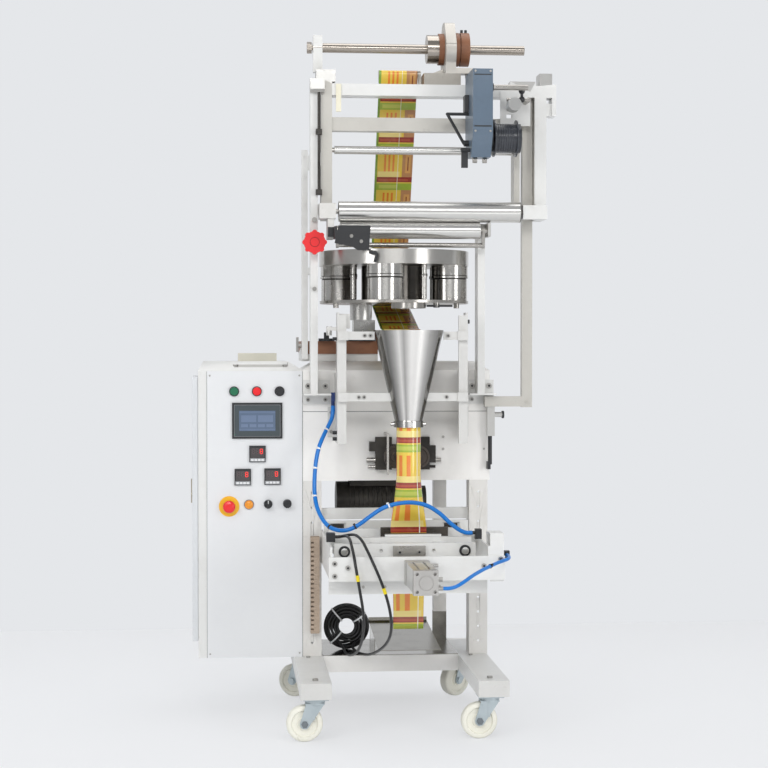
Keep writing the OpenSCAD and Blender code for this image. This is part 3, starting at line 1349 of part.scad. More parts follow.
module cord_tube(p, r, k = 8) {
    fr = frames(p, 0, unit(cross(p[1] - p[0], [0.3, 0.5, 0.8])));
    m = len(p);
    pts = [for (i = [0:m - 1]) for (j = [0:k - 1]) let (s = fr[i][1], w = cross(fr[i][0], s), a = 360 * j / k)
        p[i] + r * (cos(a) * s + sin(a) * w)];
    side = [for (i = [0:m - 2]) for (j = [0:k - 1]) [i * k + j, (i + 1) * k + j,
        (i + 1) * k + (j + 1) % k, i * k + (j + 1) % k]];
    a0 = [[for (j = [0:k - 1]) j]];
    a1 = [[for (j = [k - 1:-1:0]) (m - 1) * k + j]];
    polyhedron(points = pts, faces = concat(side, a0, a1));
}

module hose_left() {
    color([0.05, 0.45, 0.85]) cord_tube(hose_l_pts, 6, 10);
}
module hose_right() {
    color([0.05, 0.45, 0.85]) cord_tube(hose_r_pts, 5, 10);
}
module cable_a() {
    color(dark) cord_tube(cable_a_pts, 4);
}
module cable_b() {
    color(dark) cord_tube(cable_b_pts, 4);
}
// The gathered cables stand as one closed coil on the tray.
coil_r = 46;
coil_t = 25;
module cable_coil() {
    color(dark) translate([-163, 110, leg_top + 2.1 + coil_r + coil_t]) rotate([90, 0, 0])
        rotate_extrude($fn = 64) translate([coil_r, 0]) circle(r = coil_t, $fn = 24);
}

place() base_frame();
place() base_tray();
place() posts();
place() machine_body();
fork_cad(casters[0]);  // fork_fl
fork_cad(casters[1]);  // fork_fr
fork_cad(casters[2]);  // fork_rl
fork_cad(casters[3]);  // fork_rr
wheel_cad(casters[0]);  // wheel_fl
wheel_cad(casters[1]);  // wheel_fr
wheel_cad(casters[2]);  // wheel_rl
wheel_cad(casters[3]);  // wheel_rr
place() cabinet_shell();
place() cabinet_front();
place() side_door();
place() door_latch();
place() hmi_unit();
place() controllers();
place() panel_collars();
place() estop_plate();
place() button_green();
place() button_red();
place() button_black();
place() estop_head();
place() selector_knob();
place() key_knob();
place() uprights();
place() beams();
place() big_roller();
place() second_roller();
place() idler_rod();
place() dancer();
place() reel_supports();
place() reel_shaft();
place() star_knob();
place() sensor_bracket();
place() printer_box();
place() ribbon_spool();
place() printer_knob();
place() dosing_pan();
place() dosing_cups();
place() dosing_plate();
place() dosing_drive();
place() brown_base();
place() funnel();
place() funnel_brackets();
place() pull_unit();
place() pull_wheel_left();
place() pull_wheel_right();
place() jaw_frame();
place() front_jaw();
place() rear_jaw();
place() air_cylinder();
place() film();
place() wire_duct();
place() hose_left();
place() hose_right();
place() cable_a();
place() cable_b();
place() cable_coil();
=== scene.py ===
"""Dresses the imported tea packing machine: cords, finishes, small details, studio and camera."""

import logging
import math
from contextlib import contextmanager
from dataclasses import dataclass
from enum import Enum
from typing import Iterable, Iterator, Sequence

import bmesh
import bpy
from mathutils import Matrix, Vector


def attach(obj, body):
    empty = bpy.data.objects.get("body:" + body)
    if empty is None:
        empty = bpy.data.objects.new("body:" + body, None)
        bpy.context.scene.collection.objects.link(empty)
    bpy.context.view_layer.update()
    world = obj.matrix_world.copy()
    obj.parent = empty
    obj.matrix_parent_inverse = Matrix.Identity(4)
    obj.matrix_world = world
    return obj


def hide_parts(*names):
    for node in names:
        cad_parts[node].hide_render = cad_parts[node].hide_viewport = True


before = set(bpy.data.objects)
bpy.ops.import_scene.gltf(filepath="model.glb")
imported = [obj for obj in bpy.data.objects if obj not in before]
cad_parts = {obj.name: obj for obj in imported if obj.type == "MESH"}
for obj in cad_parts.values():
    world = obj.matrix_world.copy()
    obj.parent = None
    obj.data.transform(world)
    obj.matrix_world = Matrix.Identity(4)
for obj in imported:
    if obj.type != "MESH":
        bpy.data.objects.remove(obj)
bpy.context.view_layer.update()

LOG = logging.getLogger("tea_packer")
# The inner frame, in millimetres, has its origin at the film tube; this moves it to the row frame.
SHIFT = Vector((92.6, 184.0, 0.0))
MM = 0.001

Point = tuple[float, float, float]
Span = tuple[float, float]


def at(x: float, y: float, z: float) -> Vector:
    """Turns a point of the inner frame, in millimetres, into metres in the row frame."""
    return (Vector((x, y, z)) + SHIFT) * MM


def srgb(code: str) -> tuple[float, float, float, float]:
    """Turns a written colour into the linear one that the nodes use.

    Args:
        code: six hexadecimal digits.

    Returns:
        The colour with an alpha of 1.
    """
    parts = [int(code[i:i + 2], 16) / 255 for i in (0, 2, 4)]
    lin = [c / 12.92 if c <= 0.04045 else ((c + 0.055) / 1.055) ** 2.4 for c in parts]
    return (lin[0], lin[1], lin[2], 1.0)


class Grain(Enum):
    """The fine structure of a surface, as the stretch of its noise along X, Y and Z."""

    PEEL = (1.0, 1.0, 1.0)
    ALONG_X = (0.02, 1.0, 1.0)
    ALONG_Y = (1.0, 0.02, 1.0)
    ALONG_Z = (1.0, 1.0, 0.02)
    ROUND_X = (1.0, 0.03, 0.03)
    ROUND_Z = (0.03, 0.03, 1.0)
    ROUND_Y = (0.03, 1.0, 0.03)


class Axis(Enum):
    """The way a turned piece's axis runs."""

    X = "x"
    Y = "y"
    Z = "z"


class Edge(Enum):
    """How wide a node's edges are broken, in metres."""

    SHARP = 0.0
    FINE = 0.0003
    SLIM = 0.0004
    THIN = 0.0005
    PLAIN = 0.0006
    SOFT = 0.0008
    ROUND = 0.0010


@dataclass(frozen=True)
class Finish:
    """One finish: its colours, its gloss and its grain; some carry painted light or shade.

    The colour turns towards the shade, and the gloss drops, where the grain and the handling
    marks are strong. Polished sheet can carry painted reflection: strips of light and dark, as a
    studio's flag reflections would leave them, painted in by dimming its colour.
    """

    name: str
    colour: str
    shade: str
    rough: float = 0.45
    spread: float = 0.12
    metal: float = 0.0
    grain: Grain = Grain.PEEL
    size: float = 900.0
    bump: float = 0.08
    coat: float = 0.0
    marks: float = 0.25
    glow: float = 0.0
    # Strength of the painted reflection strips that dim the colour.
    flags: float = 0.0
    smoothest: float = 0.04
    wear_share: float = 0.35
    coat_rough: float = 0.12
    brushed: float = 0.8

    @property
    def is_metal(self) -> bool:
        """Says whether the surface is more metal than paint."""
        return self.metal > 0.5

    @property
    def relief(self) -> float:
        """Depth of the grain in metres: ground metal is far finer than paint or plastic."""
        return 0.00004 if self.is_metal else 0.0003


PAINT = Finish("paint_white", "e4e4e2", "cfcdc8", 0.42, 0.10, size=700, bump=0.05, coat=0.15,
               marks=0.30)
PANEL = Finish("paint_panel", "e3e4e5", "d9dadc", 0.38, 0.08, bump=0.04, coat=0.20, marks=0.18)
DOOR = Finish("paint_door", "d9dbdd", "cccfd2", 0.44, 0.10, bump=0.05, coat=0.10)
BEIGE = Finish("junction_beige", "d3d0c2", "c3bfae", 0.55, 0.08, size=1100, bump=0.05)
STEEL = Finish("ground_steel", "b9b6b1", "95918b", 0.30, 0.14, 1.0, Grain.ALONG_X, 900, 0.06,
               marks=0.35)
STEEL_Z = Finish("ground_steel_upright", "c6c5c2", "a9a7a3", 0.28, 0.14, 1.0, Grain.ALONG_Z, 900,
                 0.06, marks=0.35)
SCREW = Finish("screw_steel", "b4b2ae", "8d8a86", 0.34, 0.12, 1.0, Grain.PEEL, 1500, 0.05)
TRAY = Finish("tray_steel", "94918a", "6d6a62", 0.20, 0.12, 1.0, Grain.ALONG_Y, 700, 0.05,
              marks=0.5)
# Polished sheet, with painted reflection strips dimming its colour.
BRIGHT = Finish("polished_sheet", "f6f4f1", "dedbd6", 0.20, 0.10, 1.0, Grain.ROUND_Z, 600, 0.03,
                marks=0.30, flags=0.9)
PAN = Finish("pan_sheet", "c6c4c0", "a9a6a1", 0.32, 0.12, 1.0, Grain.ROUND_Z, 700, 0.05, marks=0.45)
ROLLER = Finish("roller_satin", "dad9d6", "cccac6", 0.27, 0.04, 0.85, Grain.ROUND_X, 2600, 0.01,
                marks=0.08)
ALU = Finish("satin_aluminium", "cfcecb", "b2b0ab", 0.36, 0.12, 0.9, Grain.ALONG_X, 800, 0.05,
             marks=0.35)
CAST = Finish("cylinder_end_alu", "c0bebb", "a4a29e", 0.42, 0.10, 0.75, Grain.PEEL, 1200, 0.10,
              marks=0.3)
ZINC = Finish("zinc_blue", "c3cdd1", "9fabb0", 0.40, 0.12, 0.7, Grain.PEEL, 500, 0.05, marks=0.4)
BROWN = Finish("phenolic_brown", "8f5f42", "6c432b", 0.50, 0.14, grain=Grain.ALONG_X, size=500,
               bump=0.06, marks=0.5)
BLACK = Finish("black_moulded", "26272a", "17181a", 0.46, 0.12, size=1500, bump=0.12, marks=0.35)
SOOT = Finish("blackened_steel", "4a4743", "2b2927", 0.48, 0.14, 0.6, Grain.PEEL, 600, 0.10,
              marks=0.7)
HEATER = Finish("heater_block", "55504a", "37332f", 0.50, 0.14, 0.5, Grain.PEEL, 500, 0.12,
                marks=0.8)
BEZEL = Finish("screen_bezel", "434c50", "384044", 0.40, 0.08, size=1600)
GREEN = Finish("cap_green", "0b6e4a", "095437", 0.34, 0.06, bump=0.02, coat=0.4)
RED = Finish("cap_red", "f01820", "cf1018", 0.34, 0.08, bump=0.03, coat=0.4)
STAR = Finish("star_red", "ea2226", "c8181c", 0.46, 0.10, size=1400, bump=0.10, coat=0.1)
ORANGE = Finish("lamp_orange", "f29a1c", "d97f10", 0.22, 0.06, bump=0.02, coat=0.5)
YELLOW = Finish("plate_yellow", "f8bd08", "eaa904", 0.34, 0.08, bump=0.03, coat=0.2)
COLLAR = Finish("collar_steel", "8d9093", "6b6e71", 0.30, 0.10, 0.8, Grain.PEEL, 1400, 0.04)
PRINTER = Finish("printer_enamel", "5f7081", "485667", 0.40, 0.10, size=600, coat=0.12, marks=0.3)
DUCT = Finish("duct_beige", "b3a08e", "9b8874", 0.62, 0.10, bump=0.06, marks=0.3)
HOSE = Finish("hose_blue", "0078d0", "0064b4", 0.36, 0.06, size=500, bump=0.02, coat=0.05,
              marks=0.15)
CABLE = Finish("cable_black", "1d1d1f", "111112", 0.42, 0.10, size=1200, bump=0.06, marks=0.2)
SLEEVE = Finish("sleeve_yellow", "f0d916", "d8c00e", 0.42, 0.08, bump=0.04)
TIE_WHITE = Finish("tie_white", "eceef0", "dcdee0", 0.40, 0.05, bump=0.02)
FITTING = Finish("fitting_blue", "1c3570", "142752", 0.36, 0.08, bump=0.05)
SPOOL = Finish("ribbon_black", "3a3d44", "26282d", 0.30, 0.10, grain=Grain.ROUND_X, size=1800,
               bump=0.06, coat=0.2)
MODULE = Finish("module_grey", "5e6367", "484c50", 0.50, 0.08, size=1300, bump=0.06)
# Dark seams and trim; also painted shade in screw recesses and painted shadow in the gaps beside
# the panel.
SEAM_AND_SHADE = Finish("dark_seam_and_painted_shade", "3b3c3d", "2c2d2e", 0.80, 0.05, bump=0.02)
POST = Finish("paint_post", "e4e2de", "d0cdc7", 0.46, 0.10, size=700, bump=0.06, marks=0.35)
WHEEL = Finish("wheel_nylon", "f1efe3", "dddacb", 0.40, 0.10, size=700, bump=0.06, marks=0.6)
LATCH = Finish("latch_bronze", "b3a999", "94897a", 0.38, 0.12, 0.6, Grain.PEEL, 1200, 0.06)
CREAM = Finish("cream_plate", "e9e4cf", "d8d2b8", 0.42, 0.08, bump=0.04)
CUPS = Finish("cup_sheet", "cfcdc9", "a9a6a1", 0.27, 0.14, 1.0, Grain.ROUND_Z, 700, 0.05, marks=0.6)
NUT = Finish("axle_nut", "8c9397", "666c70", 0.26, 0.10, 0.95, Grain.PEEL, 1500, 0.05)
FRAME = Finish("frame_grey", "c4c1ba", "aeaba4", 0.40, 0.10, 0.2, Grain.PEEL, 800, 0.05, marks=0.3)
FOOT = Finish("foot_steel", "9a968f", "7c7872", 0.34, 0.12, 0.8, Grain.PEEL, 900, 0.06, marks=0.4)
PLATE = Finish("plate_alu", "c4c0b9", "a9a59e", 0.38, 0.10, 0.6, Grain.ALONG_Z, 900, 0.05,
               marks=0.3)
# Painted shade: a darker copy of the white paint, on the legs' end caps and the funnel's bars.
PAINT_WITH_PAINTED_SHADE = Finish("paint_bar_painted_shade", "d6d5d2", "c2c1bd", 0.42, 0.10, size=700, bump=0.05, coat=0.10,
             marks=0.30)
# Painted shade: a dark colour on the cups' groove walls, standing for the grooves' shadow.
GROOVE_PAINTED_SHADE = Finish("cup_groove_painted_shade", "45423f", "2d2b29", 0.42, 0.10, 0.8, Grain.ROUND_Z, 900, 0.04,
                marks=0.4)
# Painted light: a lighter copy of the white paint for the body front and the crossbars, which lie
# in shade.
PAINT_WITH_PAINTED_LIGHT = Finish("paint_body_painted_light", "f4f2ef", "e3e1dc", 0.44, 0.10, size=700, bump=0.05, coat=0.10)
KNOB = Finish("knob_alu", "dcdcda", "bfbebb", 0.30, 0.10, 0.9, Grain.ROUND_Y, 1500, 0.05, marks=0.3)
RUBBER = Finish("wheel_rubber", "4a423c", "332d29", 0.66, 0.14, bump=0.14, marks=0.7)
ROD = Finish("hard_chrome", "d8d8d6", "bdbcba", 0.12, 0.08, 1.0, Grain.ALONG_Y, 900, 0.02,
             marks=0.3)
HUB = Finish("hub_dark", "56534f", "35322f", 0.30, 0.10, 0.8, Grain.ROUND_Z, 900, 0.05, marks=0.5)
SHAFT = Finish("shaft_steel", "b3aba2", "8f877e", 0.26, 0.10, 1.0, Grain.ROUND_X, 1600, 0.05,
               marks=0.4)
STAR_RING = Finish("star_groove", "8f1519", "6f0f12", 0.50, 0.08, size=1400, bump=0.06)
EXTRUDED = Finish("extruded_alu", "cfcfcd", "b9b8b5", 0.34, 0.10, 0.85, Grain.ALONG_Y, 900, 0.06,
                  marks=0.3)
SCREEN = Finish("screen_glass", "56677f", "4f5f76", 0.18, 0.04, bump=0.0, marks=0.1, coat=0.4,
                glow=0.10)
SCREEN_BAR = Finish("screen_bar", "5f6f88", "58677f", 0.20, 0.04, bump=0.0, glow=0.12)
SCREEN_TILE = Finish("screen_tile", "667690", "5f6f87", 0.20, 0.04, bump=0.0, glow=0.12)
WINDOW = Finish("display_window", "2a2022", "1f181a", 0.12, 0.04, bump=0.0, marks=0.2, coat=0.5)
LABEL = Finish("label_grey", "9c9ea0", "8f9193", 0.55, 0.05, bump=0.01)
DIGIT_OFF = Finish("digit_unlit", "5a4c4e", "4e4143", 0.5, 0.05, bump=0.01)
DIGIT_ON = Finish("digit_lit", "ff2a20", "f01c14", 0.5, 0.05, bump=0.01, glow=0.9)


@dataclass(frozen=True)
class Wiring:
    """Adds nodes to one tree and joins their sockets."""

    tree: bpy.types.NodeTree

    def feed(self, node: bpy.types.Node, key: str | int, value: object) -> None:
        """Gives a node's input its value.

        Args:
            node: the node.
            key: the input's name or number.
            value: a socket, which is linked, or a plain value, which is set.
        """
        if isinstance(value, bpy.types.NodeSocket):
            self.tree.links.new(value, node.inputs[key])
        else:
            node.inputs[key].default_value = value

    def add(self, kind: str, inputs: dict[str | int, object] | None = None,
            **settings: object) -> bpy.types.Node:
        """Adds a node.

        Args:
            kind: its type, without the "ShaderNode" in front.
            inputs: what goes into its inputs, by name or number.
            settings: the node's own settings.

        Returns:
            The node.
        """
        node = self.tree.nodes.new("ShaderNode" + kind)
        for key, value in settings.items():
            setattr(node, key, value)
        for key, value in (inputs or {}).items():
            self.feed(node, key, value)
        return node

    def math(self, operation: str, *terms: object) -> bpy.types.NodeSocket:
        """Adds one sum.

        Args:
            operation: its kind, in capitals.
            terms: its terms, sockets or plain numbers.

        Returns:
            Its result.
        """
        return self.add("Math", dict(enumerate(terms)), operation=operation).outputs[0]

    def between(self, value: bpy.types.NodeSocket, limits: Span) -> bpy.types.NodeSocket:
        """Marks where a value lies between two limits.

        Args:
            value: the value.
            limits: the lower and the upper limit.

        Returns:
            1 between them and 0 elsewhere.
        """
        return self.math("MULTIPLY", self.math("GREATER_THAN", value, limits[0]),
                         self.math("LESS_THAN", value, limits[1]))

    def over(self, base: object, top: str, share: object) -> bpy.types.NodeSocket:
        """Lays a colour over another.

        Args:
            base: a colour's socket, or its six hexadecimal digits.
            top: the six hexadecimal digits of the colour on top.
            share: how far the top covers the base, 0 to 1.

        Returns:
            The mixed colour.
        """
        below = srgb(base) if isinstance(base, str) else base
        mix = self.add("Mix", {"A": below, "B": srgb(top), "Factor": share}, data_type="RGBA")
        return mix.outputs["Result"]

    def group(self, group: bpy.types.NodeTree, **inputs: object) -> bpy.types.Node:
        """Puts a node group into the tree.

        Args:
            group: the group.
            inputs: what goes into its inputs, by name.

        Returns:
            The group's node.
        """
        return self.add("Group", inputs, node_tree=group)

    def brush(self, shader: bpy.types.Node, pull: Point, amount: float) -> None:
        """Stretches a shader's highlights.

        Args:
            shader: the shader.
            pull: the way they are pulled, along X, Y and Z.
            amount: how strong the stretch is, 0 to 1.
        """
        self.feed(shader, "Tangent", self.add("CombineXYZ", dict(enumerate(pull))).outputs[0])
        self.feed(shader, "Anisotropic", amount)


class ShaderKit:
    """Builds the node groups once and every material from its finish."""

    # Painted reflection: where along the turn from left to right a strip sits, and how bright it
    # is.
    PAINTED_REFLECTION_STRIPS = ((0.0, 0.10), (0.06, 0.38), (0.13, 0.12), (0.22, 0.42), (0.31, 0.84), (0.38, 0.44),
              (0.49, 1.0), (0.67, 1.0), (0.76, 0.54), (0.86, 0.32), (0.93, 0.11), (1.0, 0.24))

    def __init__(self) -> None:
        """Starts with no material made."""
        self.made: dict[str, bpy.types.Material] = {}
        self.grain = self._grain_group()
        self.marks = self._marks_group()
        self.flags = self._painted_reflection_group()

    @staticmethod
    def _new_group(name: str, inputs: Sequence[tuple[str, str, object]],
                   outputs: Sequence[str]) -> tuple[Wiring, bpy.types.Node, bpy.types.Node]:
        """Makes an empty group with its sockets.

        Args:
            name: the group's name.
            inputs: name, socket type and default of each input.
            outputs: names of the float outputs.

        Returns:
            The group's wiring, its input node and its output node.
        """
        group = bpy.data.node_groups.new(name, "ShaderNodeTree")
        for label, kind, value in inputs:
            sock = group.interface.new_socket(label, in_out="INPUT", socket_type=kind)
            if value is not None:
                sock.default_value = value
        for label in outputs:
            group.interface.new_socket(label, in_out="OUTPUT", socket_type="NodeSocketFloat")
        return Wiring(group), group.nodes.new("NodeGroupInput"), group.nodes.new("NodeGroupOutput")

    def _grain_group(self) -> bpy.types.NodeTree:
        """Makes the fine grain: noise stretched along the way the surface was worked.

        Returns:
            The group, with Height and Mask.
        """
        wire, gin, gout = self._new_group("fine_grain", [
            ("Vector", "NodeSocketVector", None), ("Stretch", "NodeSocketVector", (1.0, 1.0, 1.0)),
            ("Size", "NodeSocketFloat", 900.0)], ["Height", "Mask"])
        worked = wire.add("VectorMath", {0: gin.outputs["Vector"], 1: gin.outputs["Stretch"]},
                          operation="MULTIPLY").outputs[0]
        fine = wire.add("TexNoise", {"Vector": worked, "Scale": gin.outputs["Size"], "Detail": 3.0})
        broad = wire.add("TexNoise", {"Vector": worked, "Scale": 60.0, "Detail": 4.0})
        part = wire.math("MULTIPLY", fine.outputs["Fac"], 0.4)
        wire.feed(gout, "Height", fine.outputs["Fac"])
        wire.feed(gout, "Mask", wire.math("MULTIPLY_ADD", broad.outputs["Fac"], 0.6, part))
        return wire.tree

    def _marks_group(self) -> bpy.types.NodeTree:
        """Makes handling marks: soft smudges with thin scratches among them.

        Returns:
            The group, with Mask.
        """
        wire, gin, gout = self._new_group("handling_marks", [
            ("Vector", "NodeSocketVector", None), ("Amount", "NodeSocketFloat", 0.3)], ["Mask"])
        spot = gin.outputs["Vector"]
        smudge = wire.add("TexNoise", {"Vector": spot, "Scale": 9.0, "Detail": 6.0,
                                       "Roughness": 0.65})
        scratch = wire.add("TexNoise", {"Vector": spot, "Scale": 34.0, "Detail": 2.0,
                                        "Distortion": 1.6})
        soft = wire.add("MapRange", {"Value": smudge.outputs["Fac"], "From Min": 0.48,
                                     "From Max": 0.72})
        thin = wire.add("MapRange", {"Value": scratch.outputs["Fac"], "From Min": 0.70,
                                     "From Max": 0.74})
        both = wire.math("MAXIMUM", soft.outputs[0], thin.outputs[0])
        wire.feed(gout, "Mask", wire.math("MULTIPLY", both, gin.outputs["Amount"]))
        return wire.tree

    def _painted_reflection_group(self) -> bpy.types.NodeTree:
        """Makes painted reflection: the light and dark strips that a studio's flag reflections
        would leave on polished sheet, as a factor that dims its colour.

        Returns:
            The group, with Factor: how bright a face is painted by the side that it looks to.
        """
        wire, gin, gout = self._new_group("painted_reflection_strips", [("Amount", "NodeSocketFloat", 1.0)],
                                          ["Factor"])
        facing = wire.add("NewGeometry").outputs["Normal"]
        across = wire.add("SeparateXYZ", {0: facing}).outputs["X"]
        turn = wire.add("MapRange", {"Value": across, "From Min": -1.0}).outputs[0]
        ramp = wire.add("ValToRGB", {0: turn})
        stops = ramp.color_ramp.elements
        for k, (spot, value) in enumerate(self.PAINTED_REFLECTION_STRIPS):
            stop = stops[k] if k < 2 else stops.new(spot)
            stop.position = spot
            stop.color = (value, value, value, 1.0)
        mix = wire.add("Mix", {"A": 1.0, "B": ramp.outputs["Color"],
                               "Factor": gin.outputs["Amount"]})
        wire.feed(gout, "Factor", mix.outputs["Result"])
        return wire.tree

    def blank(self, name: str) -> tuple[bpy.types.Material, Wiring, bpy.types.Node,
                                        bpy.types.NodeSocket]:
        """Starts a material.

        Args:
            name: the material's name.

        Returns:
            The material, its wiring, its Principled shader and the place on the object.
        """
        mat = bpy.data.materials.new(name)
        mat.use_nodes = True
        wire = Wiring(mat.node_tree)
        place = wire.add("TexCoord").outputs["Object"]
        return mat, wire, mat.node_tree.nodes["Principled BSDF"], place

    def of(self, finish: Finish) -> bpy.types.Material:
        """Gives the material of a finish, made the first time it is asked for.

        Args:
            finish: the finish.

        Returns:
            Its material.
        """
        if finish.name in self.made:
            return self.made[finish.name]
        mat, wire, shader, place = self.blank(finish.name)
        grain = wire.group(self.grain, Vector=place, Stretch=finish.grain.value, Size=finish.size)
        marks = wire.group(self.marks, Vector=place, Amount=finish.marks)
        worn = wire.math("MULTIPLY_ADD", grain.outputs["Mask"], finish.wear_share,
                         marks.outputs["Mask"])
        tint = wire.over(finish.colour, finish.shade, worn)
        # Painted reflection: strips that dim the colour by the side a face looks to.
        if finish.flags:
            strips = wire.group(self.flags, Amount=finish.flags).outputs["Factor"]
            tint = wire.add("VectorMath", {0: tint, "Scale": strips}, operation="SCALE").outputs[0]
        gloss = wire.add("MapRange", {
            "Value": worn, "To Min": max(finish.smoothest, finish.rough - finish.spread / 2),
            "To Max": finish.rough + finish.spread})
        bump = wire.add("Bump", {"Strength": min(1.0, finish.bump * 3), "Distance": finish.relief,
                                 "Height": grain.outputs["Height"]})
        for key, value in (("Base Color", tint), ("Roughness", gloss.outputs[0]),
                           ("Normal", bump.outputs["Normal"]), ("Metallic", finish.metal),
                           ("Coat Weight", finish.coat), ("Coat Roughness", finish.coat_rough)):
            wire.feed(shader, key, value)
        if finish.is_metal and finish.grain is not Grain.PEEL:
            wire.brush(shader, finish.grain.value, finish.brushed)
        if finish.glow:
            wire.feed(shader, "Emission Color", srgb(finish.colour))
            wire.feed(shader, "Emission Strength", finish.glow)
        mat.diffuse_color = srgb(finish.colour)
        self.made[finish.name] = mat
        return mat


KIT = ShaderKit()


@dataclass(frozen=True)
class Patch:
    """A region of a node, in inner millimetres, that has another finish."""

    part: str
    finish: Finish
    low: Point
    high: Point

    def holds(self, p: Vector) -> bool:
        """Says whether a point of the inner frame lies in the region."""
        return all(self.low[i] <= p[i] <= self.high[i] for i in range(3))


Patches = tuple[Patch, ...]


def painted_socket_shades(heads: Iterable[tuple[float, float, float, float, float]]) -> Patches:
    """Gives painted shade: dark patches on the faces inside the hex recesses of screws that face
    the front.

    Args:
        heads: X, Y, Z, radius and height of each screw head, in inner millimetres.

    Returns:
        One patch for each head.
    """
    share, floor, lip = 0.56, 0.08, 0.05
    return tuple(Patch("socket", SEAM_AND_SHADE, (x - r * share, y - h + floor, z - r * share),
                       (x + r * share, y - lip, z + r * share)) for x, y, z, r, h in heads)


def tidy_edges(obj: bpy.types.Object, width: float, angle: float = 40.0) -> None:
    """Joins the corners of a node's faces, breaks its sharp edges and shades the rest smooth.

    Args:
        obj: the object.
        width: width of the broken edge in metres, 0 for edges left sharp.
        angle: edges sharper than this, in degrees, are broken.
    """
    weld = obj.modifiers.new("join", "WELD")
    weld.merge_threshold = 0.00001
    obj.data.polygons.foreach_set("use_smooth", [True] * len(obj.data.polygons))
    if width:
        bevel = obj.modifiers.new("edge_break", "BEVEL")
        bevel.width = width
        bevel.segments = 2
        bevel.limit_method = "ANGLE"
        bevel.angle_limit = math.radians(angle)
        bevel.use_clamp_overlap = True
    else:
        crease = obj.modifiers.new("crease", "EDGE_SPLIT")
        crease.split_angle = math.radians(angle)
        crease.use_edge_sharp = False
    even = obj.modifiers.new("even_faces", "WEIGHTED_NORMAL")
    even.mode = "FACE_AREA_WITH_ANGLE"
    even.keep_sharp = True


def dress(node: str, finish: Finish, patches: Patches = (), edge: Edge = Edge.PLAIN) -> None:
    """Gives a node of the frame its finishes.

    Args:
        node: the node's name.
        finish: the main finish.
        patches: regions with a finish of their own, the first that holds a face wins.
        edge: how wide its edges are broken.
    """
    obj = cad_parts[node]
    mesh = obj.data
    mesh.materials.clear()
    slots = list(dict.fromkeys([finish, *(patch.finish for patch in patches)]))
    for item in slots:
        mesh.materials.append(KIT.of(item))
    for poly in mesh.polygons:
        index = 0
        if patches:
            centre = Vector(poly.center) * 1000 - SHIFT
            for patch in patches:
                if patch.holds(centre):
                    index = slots.index(patch.finish)
                    break
        poly.material_index = index
    tidy_edges(obj, edge.value)
    LOG.info("dressed %s with %d finish(es)", node, len(slots))


def own(obj: bpy.types.Object, body: str,
        finish: Finish | None = None) -> bpy.types.Object:
    """Lets a new piece ride on a body and take its finish from a slot.

    Args:
        obj: the piece.
        body: the body it rides on.
        finish: its finish, or None where it already has one.

    Returns:
        The piece.
    """
    if finish is not None:
        obj.data.materials.clear()
        obj.data.materials.append(KIT.of(finish))
    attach(obj, body)
    LOG.info("%s rides on %s", obj.name, body)
    return obj


def mesh_piece(name: str, bm: bmesh.types.BMesh, smooth: float = 35.0) -> bpy.types.Object:
    """Turns a bmesh into an object.

    Args:
        name: the piece's name.
        bm: the shape, in metres in the row frame; it is freed.
        smooth: faces that meet under this angle, in degrees, are shaded smooth.

    Returns:
        The object.
    """
    mesh = bpy.data.meshes.new(name)
    bmesh.ops.recalc_face_normals(bm, faces=bm.faces)
    bm.to_mesh(mesh)
    bm.free()
    mesh.polygons.foreach_set("use_smooth", [True] * len(mesh.polygons))
    mesh.set_sharp_from_angle(angle=math.radians(smooth))
    obj = bpy.data.objects.new(name, mesh)
    bpy.context.scene.collection.objects.link(obj)
    return obj


@contextmanager
def piece(name: str, body: str, slot: str, finish: Finish) -> Iterator[bmesh.types.BMesh]:
    """Opens an empty shape and, once it is filled, makes it a piece that rides on a body.

    Args:
        name: the piece's name.
        body: the body it rides on.
        slot: not used.
        finish: its finish.

    Yields:
        The shape to fill.
    """
    bm = bmesh.new()
    yield bm
    own(mesh_piece(name, bm), body, finish)


def add_block(bm: bmesh.types.BMesh, low: Point, high: Point, edge: float = 0.4) -> None:
    """Adds a box with broken edges to a shape.

    Args:
        bm: the shape.
        low: its low corner, in inner millimetres.
        high: its high corner.
        edge: width of the broken edges in millimetres.
    """
    lo, hi = at(*low), at(*high)
    made = bmesh.ops.create_cube(bm, size=1.0)["verts"]
    for v in made:
        v.co = Vector([lo[i] + (v.co[i] + 0.5) * (hi[i] - lo[i]) for i in range(3)])
    if edge:
        edges = {e for v in made for e in v.link_edges}
        bmesh.ops.bevel(bm, geom=list(edges), offset=edge * MM, segments=2, affect="EDGES",
                        clamp_overlap=True)


def add_lathe(bm: bmesh.types.BMesh, centre: Point, axis: Axis, profile: Sequence[Span],
              steps: int = 40) -> None:
    """Adds a turned piece to a shape.

    Args:
        bm: the shape.
        centre: a point of the axis, in inner millimetres.
        axis: the way the axis runs; distances along it grow with it.
        profile: radius and distance along the axis of each ring, in millimetres.
        steps: corners of each ring.
    """
    rings = []
    for radius, along in profile:
        ring = []
        for k in range(steps):
            a = 2 * math.pi * k / steps
            u, v = radius * math.cos(a), radius * math.sin(a)
            off = {Axis.X: (along, u, v), Axis.Y: (u, along, v), Axis.Z: (u, v, along)}[axis]
            ring.append(bm.verts.new(at(centre[0] + off[0], centre[1] + off[1],
                                        centre[2] + off[2])))
        rings.append(ring)
    for a, b in zip(rings, rings[1:]):
        for k in range(steps):
            bm.faces.new((a[k], a[(k + 1) % steps], b[(k + 1) % steps], b[k]))
    bm.faces.new(rings[0])
    bm.faces.new(list(reversed(rings[-1])))


